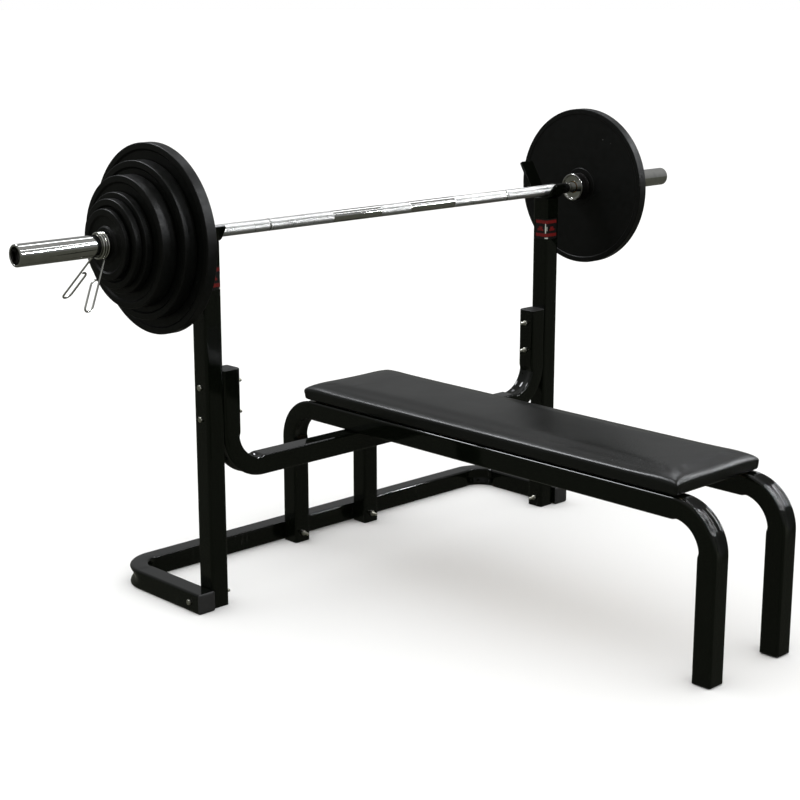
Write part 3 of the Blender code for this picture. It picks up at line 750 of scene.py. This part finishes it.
def decal(word, side):
    """Film wrapped round the upright's inner foot-side corner: red bars, and white strips down the
    rounded corner as a painted highlight.
    """
    low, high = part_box(f"{word}_upright")
    inner_x = low.x if side > 0 else high.x
    corner = Vector((inner_x, low.y))
    radius = TUBE_CORNER
    arc = radius * math.pi / 2

    def on_tube(distance, lift):
        """Point on the wall: distance 0 is mid-corner, negative on the inner face."""
        if distance < -arc / 2:
            spot = Vector((0, radius - distance - arc / 2))
            face = Vector((-1, 0))
        elif distance > arc / 2:
            spot = Vector((radius + distance - arc / 2, 0))
            face = Vector((0, -1))
        else:
            angle = math.pi / 4 + distance / radius
            face = Vector((-math.cos(angle), -math.sin(angle)))
            spot = Vector((radius, radius)) + face * radius
        spot = spot + face * lift
        return Vector((corner.x + side * spot.x, corner.y + spot.y))

    def strip(name, start, end, bottom, top, surface, lift=FILM_LIFT * 2):
        outlines = []
        for mark in np.linspace(start, end, 40):
            under, over = on_tube(mark, lift - FILM_THICKNESS), on_tube(mark, lift)
            outlines.append([Vector((*spot, height)) for spot, height in
                             ((under, bottom), (over, bottom), (over, top), (under, top))])
        add_piece(f"{word}_decal_{name}", loft(bmesh.new(), outlines), surface, "bench")

    foot_end, inner_end = 0.0405, -0.0385
    strip("film", inner_end, foot_end, 0.778, 0.834, BLACK_FILM, FILM_LIFT)
    for name, bottom, top in (("top_bar", 0.8215, 0.8305), ("low_bar", 0.7850, 0.7940)):
        strip(name, inner_end + 0.001, foot_end - 0.001, bottom, top, RED_FILM)
    for index, (start, wide, bottom, top) in enumerate((
            (-0.032, 0.022, 0.8010, 0.8065), (-0.027, 0.013, 0.8065, 0.8125),
            (0.010, 0.022, 0.8010, 0.8065), (0.014, 0.013, 0.8065, 0.8125))):
        strip(f"badge_{index}", start, start + wide, bottom, top, RED_FILM)
    # white strips down the middle of the rounded corner: a painted highlight of the glossy film
    strip("painted_highlight_stripe", -0.0042, -0.0012, 0.7945, 0.8210, PAINTED_HIGHLIGHT_FILM)
    strip("painted_highlight_dash", 0.0005, 0.0022, 0.8010, 0.8130, PAINTED_HIGHLIGHT_FILM)
    strip("painted_highlight_foot", -0.0050, 0.0050, 0.7795, 0.7830, PAINTED_HIGHLIGHT_FILM)


# ---------------------------------------------------------------- bench pad
pad_low, pad_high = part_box("bench_pad")
board_low, board_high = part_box("pad_board")
PAD_CENTRE = Vector(((pad_low.x + pad_high.x) / 2, (pad_low.y + pad_high.y) / 2, 0))
PAD_HALF_X = (pad_high.x - pad_low.x) / 2
PAD_HALF_Y = (pad_high.y - pad_low.y) / 2
CORNER_STEPS = 6
VINYL_TURN = 0.0010               # how far the turned-under vinyl stands below the board
VINYL_MARGIN = 0.032              # how far in under the board it reaches
RIM_COVER = 0.004                 # foam and vinyl drawn round the board's rim
BOARD_CORNER = 0.010
BOARD_EDGE = 0.001
COVER_MESH = 0.0042
SWELL_PRESSURE = 4.0
SWELL_CAP = 0.0035
SWELL_FRAMES = 20
STITCHED = 0.075                  # how near a corner the cover keeps its formed shape
TUCK, TUCK_REACH = 0.005, 0.040   # drop of the cover at a corner, and how far it is felt
EAR, EAR_REACH = 0.0024, 0.010    # the corner's own tip stands out a little
PLEAT_PLACE, PLEAT_WIDTH, PLEAT_DEPTH = 0.012, 0.003, 0.0012


def rounded_rectangle(inset, height, corner):
    """Outline of the pad, pulled in by `inset`; every outline has the same count of points."""
    half_x, half_y = PAD_HALF_X - inset, PAD_HALF_Y - inset
    points = []
    for quarter in range(4):
        sign_x = 1 if quarter in (0, 3) else -1
        sign_y = 1 if quarter in (0, 1) else -1
        centre = Vector((sign_x * (half_x - corner), sign_y * (half_y - corner), height))
        for step in range(CORNER_STEPS + 1):
            angle = (quarter + step / CORNER_STEPS) * math.pi / 2
            turn = Vector((math.cos(angle), math.sin(angle), 0))
            points.append(PAD_CENTRE + centre + turn * corner)
    spots = []
    for index, (spot, following) in enumerate(zip(points, points[1:] + points[:1])):
        at_side = index % (CORNER_STEPS + 1) == CORNER_STEPS
        steps = (14 if index // (CORNER_STEPS + 1) % 2 == 0 else 56) if at_side else 1
        spots += [spot.lerp(following, step / steps) for step in range(steps)]
    return spots


def move_points(obj, points):
    obj.data.vertices.foreach_set("co", points.astype(np.float32).ravel())
    obj.data.update()


def inflate(obj, held_below, free_above):
    """Let the closed skin swell like upholstery over foam, each point by at most the cap."""
    held = obj.vertex_groups.new(name="held")
    for vertex in obj.data.vertices:
        share = smoothstep((free_above - vertex.co.z) / (free_above - held_below))
        held.add([vertex.index], share, "REPLACE")
    modifier = obj.modifiers.new("swell", "CLOTH")
    settings = modifier.settings
    settings.quality = 5
    settings.mass = 0.3
    settings.use_pressure = True
    settings.uniform_pressure_force = SWELL_PRESSURE
    settings.effector_weights.gravity = 0
    settings.vertex_group_mass = "held"
    modifier.point_cache.frame_start = 1
    modifier.point_cache.frame_end = SWELL_FRAMES
    scene = bpy.context.scene
    for number in range(1, SWELL_FRAMES + 1):
        scene.frame_set(number)
    count = len(obj.data.vertices) * 3
    start, swollen = np.zeros(count, np.float32), np.zeros(count, np.float32)
    obj.data.vertices.foreach_get("co", start)
    evaluated = obj.evaluated_get(bpy.context.evaluated_depsgraph_get())
    evaluated.data.vertices.foreach_get("co", swollen)
    move = (swollen - start).reshape(-1, 3)
    length = np.linalg.norm(move, axis=1, keepdims=True)
    move *= SWELL_CAP * np.tanh(length / SWELL_CAP) / np.maximum(length, 1e-9)
    obj.modifiers.remove(modifier)
    obj.vertex_groups.remove(held)
    scene.frame_set(1)
    move_points(obj, start.reshape(-1, 3) + move)


def tuck_corners(obj, base, top):
    """Pull the cover down at the corners, and fold a pleat into each of them."""
    points = np.array([v.co for v in obj.data.vertices])
    for sign_x in (-1, 1):
        for sign_y in (-1, 1):
            corner = np.array([PAD_CENTRE.x + sign_x * PAD_HALF_X,
                               PAD_CENTRE.y + sign_y * PAD_HALF_Y])
            offset = points[:, :2] - corner
            distance = np.hypot(offset[:, 0], offset[:, 1])
            level = np.clip((points[:, 2] - base) / (top - base), 0, 1)
            points[:, 2] -= TUCK * np.exp(-(distance / TUCK_REACH) ** 2) * level
            ear = EAR * np.exp(-(distance / EAR_REACH) ** 2)
            points[:, 0] += sign_x * ear
            points[:, 1] += sign_y * ear
            # a pleat runs down the end face, close to the corner
            from_pleat = np.abs(offset[:, 0]) - PLEAT_PLACE
            on_end = np.abs(offset[:, 1]) < 0.012
            groove = np.exp(-(from_pleat / PLEAT_WIDTH) ** 2) * on_end * (1 - level)
            points[:, 1] -= sign_y * PLEAT_DEPTH * groove
    move_points(obj, points)


def still_corners(obj, formed):
    """Bring the cover back to its formed shape close to the corners, where it is stitched."""
    points = np.array([v.co for v in obj.data.vertices])
    past = np.abs(formed[:, :2] - [PAD_CENTRE.x, PAD_CENTRE.y]) - [PAD_HALF_X, PAD_HALF_Y]
    blown = 1 - np.exp(-(np.hypot(past[:, 0], past[:, 1]) / STITCHED) ** 2)
    move_points(obj, formed + (points - formed) * blown[:, None])


def bench_cushion():
    """Foam and vinyl wrapped round the board: full sides, mitred corners, turned under below."""
    base, top = pad_low.z + GAP, pad_high.z
    depth = top - base
    # inset from the outline, height as a part of the cushion's depth, radius of the corner
    form = [(0.0080, 0.000, 0.005), (0.0056, 0.012, 0.004), (0.0040, 0.040, 0.004),
            (0.0030, 0.120, 0.003), (0.0022, 0.340, 0.003), (0.0017, 0.440, 0.003),
            (0.0014, 0.520, 0.002)]
    edge = [0.0012 + 0.031 * (1 - math.cos(step / 10 * math.pi / 2)) for step in range(11)]
    for step, inset in enumerate(edge + [0.041, 0.052, 0.070, 0.098, 0.130]):
        rise = math.sin(min(step / 10, 1) * math.pi / 2)
        part = 0.55 + 0.31 * rise + 0.065 * (1 - math.exp(-inset / 0.045))
        form.append((inset, part, 0.002 + 0.9 * max(inset - 0.004, 0)))
    outlines = [rounded_rectangle(inset, base + depth * part, corner)
                for inset, part, corner in form]
    bm = loft(bmesh.new(), outlines)
    bmesh.ops.triangulate(bm, faces=[f for f in bm.faces if len(f.verts) > 4])
    cushion = add_piece("bench_cushion", bm, VINYL, None, ["bench_pad"], 180)
    remesh = cushion.modifiers.new("even_mesh", "REMESH")
    remesh.mode = "VOXEL"
    remesh.voxel_size = COVER_MESH
    remesh.use_smooth_shade = True
    apply_modifiers(cushion)
    formed = np.array([v.co for v in cushion.data.vertices])
    inflate(cushion, base + 0.42 * depth, base + 0.80 * depth)
    still_corners(cushion, formed)
    relax = cushion.modifiers.new("relax", "SMOOTH")
    relax.factor = 0.5
    relax.iterations = 5
    smooth = cushion.modifiers.new("fine_mesh", "SUBSURF")
    smooth.levels = smooth.render_levels = 1
    apply_modifiers(cushion)
    tuck_corners(cushion, base, top)
    settle(cushion, base, top)
    carve(cushion)
    cushion.data.shade_smooth()
    cushion.data.set_sharp_from_angle(angle=math.radians(60))
    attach(cushion, "bench")


def carve(cushion):
    """Cut the room for the board, and the opening that its underside shows through."""
    inset = PAD_HALF_X - (board_high.x - board_low.x) / 2 + RIM_COVER - GAP
    under = pad_low.z + VINYL_TURN
    for name, margin, bottom, top in (("board_room", inset, under, board_high.z + GAP),
                                      ("underside", VINYL_MARGIN, pad_low.z - 0.01, under + 0.001)):
        bm = loft(bmesh.new(), [rounded_rectangle(margin, height, BOARD_CORNER)
                                for height in (bottom, top)])
        bmesh.ops.recalc_face_normals(bm, faces=bm.faces)
        mesh = bpy.data.meshes.new(name)
        bm.to_mesh(mesh)
        bm.free()
        cutter = bpy.data.objects.new(name, mesh)
        bpy.context.scene.collection.objects.link(cutter)
        cut = cushion.modifiers.new(name, "BOOLEAN")
        cut.operation = "DIFFERENCE"
        cut.solver = "EXACT"
        cut.object = cutter
        apply_modifiers(cushion)
        bpy.data.objects.remove(cutter)


def settle(obj, base, top):
    """Keep the underside flat, the crown inside the height, and the skin outside the board."""
    reach, corner = 0.0095, 0.020
    for vertex in obj.data.vertices:
        spot = vertex.co
        spot.z = min(max(spot.z, base), top + 0.003)
        if not base + 0.001 < spot.z < board_high.z + 0.003:
            continue
        ways = [math.copysign(1, spot[axis] - PAD_CENTRE[axis]) for axis in (0, 1)]
        out = [abs(spot[axis] - PAD_CENTRE[axis]) for axis in (0, 1)]
        limits = (PAD_HALF_X, PAD_HALF_Y)
        past = [max(out[axis] - limits[axis] + corner, 0) for axis in (0, 1)]
        if past[0] and past[1]:
            stretch = max((corner - reach) / math.hypot(*past), 1)
            out = [limits[axis] - corner + past[axis] * stretch for axis in (0, 1)]
        else:
            out = [max(out[axis], limits[axis] - reach) if past[axis] else out[axis]
                   for axis in (0, 1)]
        spot.x = PAD_CENTRE.x + ways[0] * out[0]
        spot.y = PAD_CENTRE.y + ways[1] * out[1]


def apply_modifiers(obj):
    evaluated = obj.evaluated_get(bpy.context.evaluated_depsgraph_get())
    mesh = bpy.data.meshes.new_from_object(evaluated)
    obj.modifiers.clear()
    obj.data = mesh


def pad_board():
    """Plywood board with eased edges, its rim covered by the turned-under vinyl."""
    low, high = board_low.z + VINYL_TURN + GAP, board_high.z
    levels = [(BOARD_EDGE, low), (0.0, low + BOARD_EDGE), (0.0, high - BOARD_EDGE),
              (BOARD_EDGE, high)]
    inset = PAD_HALF_X - (board_high.x - board_low.x) / 2 + RIM_COVER
    outlines = [rounded_rectangle(inset + ease, height, BOARD_CORNER) for ease, height in levels]
    add_piece("pad_board_panel", loft(bmesh.new(), outlines), PLYWOOD, "bench", ["pad_board"])


# ---------------------------------------------------------------- barbell
KNURL_STEP = 0.0015               # along the bar, half a diamond
KNURL_SIDES = 90                  # points round the bar, two to a diamond
KNURL_DEPTH = 0.00038
# half of the bar from its middle: (start, end, kind)
BAR_BANDS = ((0.0, 0.051, "knurl"), (0.051, 0.212, "smooth"), (0.212, 0.4105, "knurl"),
             (0.4105, 0.4155, "groove"), (0.4155, 0.618, "knurl"))
RING_DEPTH = 0.0011


def bar_rings():
    """(distance, radius or None for knurl) for each ring along half of the bar."""
    rings = []
    for start, end, kind in BAR_BANDS:
        if kind == "knurl":
            steps = round((end - start) / KNURL_STEP / 2) * 2
            rings += [(start + (end - start) * i / steps, None) for i in range(steps + 1)]
        elif kind == "groove":
            rings += [(start + 0.0001, BAR_R - RING_DEPTH), (end - 0.0001, BAR_R - RING_DEPTH)]
        else:
            rings += [(start + 0.0002, BAR_R - 0.0001)]
            rings += [(float(x), BAR_R - 0.0001) for x in np.linspace(start, end, 9)[1:-1]]
            rings += [(end - 0.0002, BAR_R - 0.0001)]
    return rings


def bar_shaft():
    sleeve_low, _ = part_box("right_sleeve")
    journal_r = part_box("right_bushing")[1].z - BAR_Z - 0.004
    shoulder = sleeve_low.x + 0.0037
    end = shaft_high.x
    rings = bar_rings() + [(0.6182, BAR_R - 0.0001), (0.66, BAR_R - 0.0001),
                           (shoulder - 0.0010, BAR_R - 0.0001), (shoulder, BAR_R - 0.0011),
                           (shoulder, journal_r), (end - 0.001, journal_r),
                           (end, journal_r - 0.001)]
    full = [(-x, r) for x, r in reversed(rings[1:])] + rings
    bm = bmesh.new()
    loops = []
    for count, (x, radius) in enumerate(full):
        points = []
        for j in range(KNURL_SIDES):
            angle = 2 * math.pi * j / KNURL_SIDES
            peak = BAR_R if (count + j) % 2 else BAR_R - KNURL_DEPTH
            here = peak if radius is None else radius
            points.append(BAR_AXIS + Vector((x, here * math.cos(angle), here * math.sin(angle))))
        loops.append(add_ring(bm, points))
    for index, (loop, following) in enumerate(zip(loops, loops[1:])):
        knurled = full[index][1] is None and full[index + 1][1] is None
        for j in range(KNURL_SIDES):
            k = (j + 1) % KNURL_SIDES
            corners = (loop[j], loop[k], following[k], following[j])
            if not knurled:
                bm.faces.new(corners)
                continue
            if (index + j) % 2:
                halves = ((0, 1, 3), (1, 2, 3))
            else:
                halves = ((0, 1, 2), (0, 2, 3))
            for half in halves:
                face = bm.faces.new([corners[i] for i in half])
                face.material_index = 1
    bm.faces.new(loops[0])
    bm.faces.new(loops[-1])
    shaft = add_piece("bar_shaft_knurled", bm, CHROME, "bar_shaft", ["bar_shaft"])
    shaft.data.materials.append(KNURL_CHROME)
    for face in shaft.data.polygons:
        if face.material_index:
            face.use_smooth = False


def sleeve(word, side):
    """Chromed sleeve: dished collar, long barrel, chamfered end with a recessed mouth."""
    low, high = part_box(f"{word}_sleeve")
    inner, outer = sorted((abs(low.x), abs(high.x)))
    seat = min(abs(c.x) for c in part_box(f"{word}_plate_45lb")) - GAP
    dish, bore = 0.004, 0.017
    mouth_r, mouth = 0.0195, 0.020
    profile = fillet(
        [(inner + dish, bore), (inner + dish, COLLAR_R - 0.0065), (inner + 0.0004, COLLAR_R - 0.0042),
         (inner, COLLAR_R - 0.0038), (inner, COLLAR_R), (seat - 0.010, COLLAR_R),
         (seat - 0.010, COLLAR_R - 0.0016), (seat - 0.007, COLLAR_R - 0.0016),
         (seat - 0.007, COLLAR_R), (seat, COLLAR_R), (seat, SLEEVE_R), (outer, SLEEVE_R),
         (outer, mouth_r), (outer - mouth, mouth_r), (outer - mouth, bore)],
        [0.0005, 0.0012, 0.0004, 0.0004, 0.0022, 0.0003, 0.0003, 0.0003, 0.0003, 0.0016, 0.0008,
         0.0042, 0.0012, 0.0006, 0.0004])
    piece = add_piece(f"{word}_sleeve_turned", turned(profile, 112, side), CHROME,
                      f"{word}_sleeve", [f"{word}_sleeve"])
    # the collar's outer wall gets dark oxide metal behind its bright rim: a painted reflection of the
    # dark plates beside it
    piece.data.materials.append(BLACK_OXIDE_AND_PAINTED_REFLECTION)
    for face in piece.data.polygons:
        out = abs(face.center.x)
        radius = math.hypot(face.center.y - BAR_Y, face.center.z - BAR_Z)
        if inner + 0.0045 < out < seat + 0.001 and radius > SLEEVE_R + 0.002:
            face.material_index = 1


def sleeve_bolt(word, side):
    direction = X_AXIS * -side
    place, reach = along(f"{word}_sleeve_bolt", direction)
    flats, head, washer_r, washer_back, shank_r = 0.019, 0.005, 0.0188, 0.008, 0.006
    rings = hex_head(flats, head) + [disc(washer_r - 0.0006, head), disc(washer_r, head + 0.0006),
                                     disc(washer_r, washer_back), disc(shank_r, washer_back),
                                     disc(shank_r, reach)]
    add_piece(f"{word}_sleeve_bolt_turned", loft(bmesh.new(), placed(rings, place)), BLACK_OXIDE_AND_PAINTED_REFLECTION,
              "bar_shaft", [f"{word}_sleeve_bolt"])


def weight_plate(word, side, label):
    """Cast plate: rim and hub stand proud of a web on the front, less so on the back."""
    node = f"{word}_plate_{label}"
    low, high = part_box(node)
    start, end = sorted((abs(low.x), abs(high.x)))
    face = end - start
    radius, hub = PLATE_RADII[label], PLATE_HUBS[label]
    rim = radius - PLATE_RIM
    web = face - PLATE_RECESS
    bore = SLEEVE_R + 0.0007
    back = PLATE_BACK_RECESS
    profile = fillet(
        [(0, bore), (0, hub), (back, hub + back), (back, rim - back), (0, rim), (0, radius),
         (face, radius), (face, rim), (web, rim - PLATE_RECESS), (web, hub + PLATE_RECESS),
         (face, hub), (face, bore)],
        [0.0008, 0.0010, 0.0008, 0.0008, 0.0010, PLATE_EDGE, PLATE_EDGE, 0.0014, 0.0020, 0.0020,
         0.0014, 0.0008])
    sides = max(96, round(2 * math.pi * radius / 0.0085))
    add_piece(f"{node}_cast", turned(profile, sides, side, start), IRON_PAINT, node, [node],
              50)


# ---------------------------------------------------------------- spring collars
def around(radius, angle, out, side):
    """Point at `radius` from the bar's axis, `angle` from straight down."""
    return BAR_AXIS + Vector((side * out, radius * math.sin(angle), -radius * math.cos(angle)))


def sweep_wire(points):
    """Round wire along the points, its ends eased."""
    ways = [(b - a).normalized() for a, b in zip(points, points[1:])]
    ways = [ways[0]] + [(a + b).normalized() for a, b in zip(ways, ways[1:])] + [ways[-1]]
    across = ways[0].orthogonal().normalized()
    outlines = []
    for spot, way in zip(points, ways):
        across = (across - way * across.dot(way)).normalized()
        up = way.cross(across)
        outlines.append([spot + (across * p.x + up * p.y) * WIRE_R for p in circle(1, 14)])

    def nose(outline, spot, way):
        return [[spot + (p - spot) * share + way * WIRE_R * reach for p in outline]
                for share, reach in ((0.90, 0.28), (0.62, 0.52))]

    outlines = (nose(outlines[0], points[0], -ways[0])[::-1] + outlines
                + nose(outlines[-1], points[-1], ways[-1]))
    return loft(bmesh.new(), outlines)


def handle_run(angle, root, side, folds):
    """Points of a handle from beside the coil out to its tip and round its closed loop."""
    def on_handle(reach, across):
        part = (reach - COIL_R) / (HANDLE_REACH - COIL_R)
        return around(reach, angle, root + HANDLE_FLARE * part + folds * across, side)

    width = HANDLE_LOOP_WIDTH
    bend = width / 2
    tip, back = HANDLE_REACH - bend, HANDLE_REACH - HANDLE_LOOP_LENGTH + bend
    points = [on_handle(reach, 0.0) for reach in np.linspace(COIL_R + 0.010, tip, 24)]
    for step in range(1, 16):
        turn = math.pi * step / 16
        points.append(on_handle(tip + bend * math.sin(turn), bend - bend * math.cos(turn)))
    points += [on_handle(reach, width) for reach in np.linspace(tip, back, 10)]
    for step in range(1, 9):
        turn = math.pi / 2 * step / 8
        points.append(on_handle(back - bend * math.sin(turn), bend + bend * math.cos(turn)))
    points.append(on_handle(back - bend, 3 * WIRE_R))
    return points


def rounded_join(first, corner, last):
    """Curve from `first` to `last` that follows the two legs of a corner."""
    parts = np.linspace(0, 1, 8)[1:-1]
    return [first * (1 - t) ** 2 + corner * 2 * t * (1 - t) + last * t ** 2 for t in parts]


def spring_collar(word, side):
    """One wire in three pieces: a coil between an outer and an inner handle."""
    outer_face = max(abs(c.x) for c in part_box(f"{word}_plate_2.5lb"))
    start = outer_face + GAP
    root = start + WIRE_R + GAP
    sweep = 2 * math.pi * COIL_TURNS + OUTER_HANDLE_ANGLE - INNER_HANDLE_ANGLE
    lead = math.radians(12)       # stretch of coil that goes with each handle

    def helix(first, last, count):
        return [around(COIL_R, INNER_HANDLE_ANGLE + turn,
                       root + COIL_PITCH * turn / (2 * math.pi), side)
                for turn in np.linspace(first, last, count)]

    end = root + COIL_PITCH * sweep / (2 * math.pi)
    coil = add_piece(f"{word}_spring_coil", sweep_wire(helix(lead, sweep - lead, 170)),
                     SPRING_CHROME, None, [f"{word}_collar_coil"], 60)
    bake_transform(coil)
    for body, node, angle, at, base, folds in (
            ("collar", (), OUTER_HANDLE_ANGLE, sweep, end, -1),
            ("collar_handle", (f"{word}_collar_handle",), INNER_HANDLE_ANGLE, 0.0, root, 1)):
        into_coil = -1 if at else 1
        arc = helix(at + into_coil * (lead + math.radians(4)), at + into_coil * lead * 0.7, 5)
        run = handle_run(angle, base, side, folds)
        corner = around(COIL_R, angle, base, side)
        points = arc + rounded_join(arc[-1], corner, run[0]) + run
        name = "outer" if at else "inner"
        add_piece(f"{word}_spring_{name}_handle", sweep_wire(points), SPRING_CHROME,
                  f"{word}_{body}", node, 60)


# ---------------------------------------------------------------- stage
def highlight(name, target, way, far, width, height, power, colour, along):
    """Lamp facing `target` that only shows in gloss; its height runs along `along`."""
    light = bpy.data.lights.new(name, "AREA")
    light.energy = power
    light.color = colour
    light.shape = "RECTANGLE"
    light.size = width
    light.size_y = height
    back = Vector(way).normalized()
    up = (along - back * along.dot(back)).normalized()
    axes = Matrix((up.cross(back), up, back)).transposed()
    obj = bpy.data.objects.new(name, light)
    obj.matrix_world = Matrix.Translation(target + back * far) @ axes.to_4x4()
    obj.visible_diffuse = False
    bpy.context.scene.collection.objects.link(obj)


def backdrop():
    """Pale dome far behind everything, which lights and mirrors in nothing."""
    look = Look("pale_backdrop", (0, 0, 0), 1.0, Specular_IOR_Level=0.0, Emission_Strength=1.0)
    look.material.cycles.emission_sampling = "NONE"
    bm = bmesh.new()
    bmesh.ops.create_icosphere(bm, subdivisions=5, radius=90)
    dome = add_piece("backdrop", bm, look.material, None)
    dome.visible_diffuse = dome.visible_glossy = dome.visible_shadow = False
    dome.visible_transmission = dome.visible_volume_scatter = False
    return dome


def ground():
    """Pale floor, staged together with the backdrop."""
    look = Look("pale_floor", (0.84, 0.84, 0.83), 0.9, Specular_IOR_Level=0.1)
    look.colour(look.mixed(look.noise(0.8, 3), (0.83, 0.83, 0.82), (0.86, 0.86, 0.85)))
    bm = bmesh.new()
    bmesh.ops.create_grid(bm, x_segments=8, y_segments=8, size=3000)
    floor = add_piece("floor", bm, look.material, None)
    floor.location.z = -0.0006
    floor.visible_glossy = False
    backdrop()


def surroundings():
    """Dim world that brightens from straight down at 0 to straight up at 1."""
    world = bpy.data.worlds.new("studio")
    world.use_nodes = True
    bpy.context.scene.world = world
    nodes, links = world.node_tree.nodes, world.node_tree.links
    coords = nodes.new("ShaderNodeTexCoord")
    split = nodes.new("ShaderNodeSeparateXYZ")
    links.new(coords.outputs["Generated"], split.inputs[0])
    span = nodes.new("ShaderNodeMapRange")
    span.inputs["From Min"].default_value = -1.0
    links.new(split.outputs["Z"], span.inputs["Value"])
    ramp = nodes.new("ShaderNodeValToRGB")
    stops = ((0.0, (0.11, 0.11, 0.09)), (0.49, (0.15, 0.155, 0.13)), (0.52, (0.30, 0.305, 0.30)),
             (0.66, (0.38, 0.385, 0.39)), (1.0, (0.62, 0.62, 0.62)))
    for position, _ in stops[1:-1]:
        ramp.color_ramp.elements.new(position)
    for element, (position, colour) in zip(ramp.color_ramp.elements, stops):
        element.position = position
        element.color = (*colour, 1)
    links.new(span.outputs["Result"], ramp.inputs["Fac"])
    background = nodes["Background"]
    links.new(ramp.outputs["Color"], background.inputs["Color"])
    background.inputs["Strength"].default_value = 0.95


def lamps():
    """Thin strips for the streaks on the front bends, wider lamps for the pad, and daylight."""
    bend = Vector((0.12, -0.70, 0.38))
    sweep = Vector((0.03, 0.80, 0.52))
    for index, (way, width, power) in enumerate((((0.80, -0.28, 0.52), 0.06, 110),
                                                 ((0.41, -0.51, 0.75), 0.07, 130),
                                                 ((-0.02, -0.57, 0.81), 0.06, 80))):
        highlight(f"strip_{index}", bend, way, 4, width, 3.6, power, (0.95, 0.97, 1.0), sweep)
    pad = Vector((-0.1, 0, 0.45))
    for name, way, width, height, power, along in (
            ("pad_edge", (-0.20, 0.60, 0.77), 1.3, 1.3, 170, Y_AXIS),
            ("ceiling_wide", (0.50, 0.30, 0.80), 0.5, 2.6, 34, X_AXIS),
            ("ceiling_narrow", (0.50, -0.42, 0.74), 0.12, 2.6, 15, X_AXIS)):
        highlight(name, pad, way, 4.5, width, height, power, (0.94, 0.96, 1.0), along)

    daylight = bpy.data.lights.new("overhead", "SUN")
    daylight.energy = 3.0
    daylight.angle = math.radians(150)
    overhead = bpy.data.objects.new("overhead", daylight)
    overhead.rotation_euler = (math.radians(12), math.radians(-14), 0)
    overhead.visible_glossy = False
    bpy.context.scene.collection.objects.link(overhead)


def camera():
    data = bpy.data.cameras.new("camera")
    data.sensor_width = 36.0
    data.lens = 76.48
    data.clip_end = 5000
    obj = bpy.data.objects.new("camera", data)
    obj.location = (-2.9697, -2.7208, 1.4723)
    obj.rotation_euler = (math.radians(76.194), 0, math.radians(-43.754))
    bpy.context.scene.collection.objects.link(obj)
    bpy.context.scene.camera = obj


# ---------------------------------------------------------------- assembly
camera()
ground()
surroundings()
lamps()
bench_rails()
base_tube()
cross_tube()
uprights()
for word, side in SIDES:
    plug(f"{word}_front_foot", Z_AXIS)
    plug(f"{word}_arm_plug", Y_AXIS)
    plug(f"{word}_flange_plug", -Z_AXIS)
    bar_cradle(word)
    cradle_welds(word)
    decal(word, side)
fasteners()
bench_cushion()
pad_board()
bar_shaft()
for word, side in SIDES:
    sleeve(word, side)
    sleeve_bolt(word, side)
    for label in PLATE_RADII:
        weight_plate(word, side, label)
    spring_collar(word, side)
    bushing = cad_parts[f"{word}_bushing"]
    bushing.data.materials.clear()
    bushing.data.materials.append(BRONZE)

bpy.context.scene.view_settings.view_transform = "Standard"
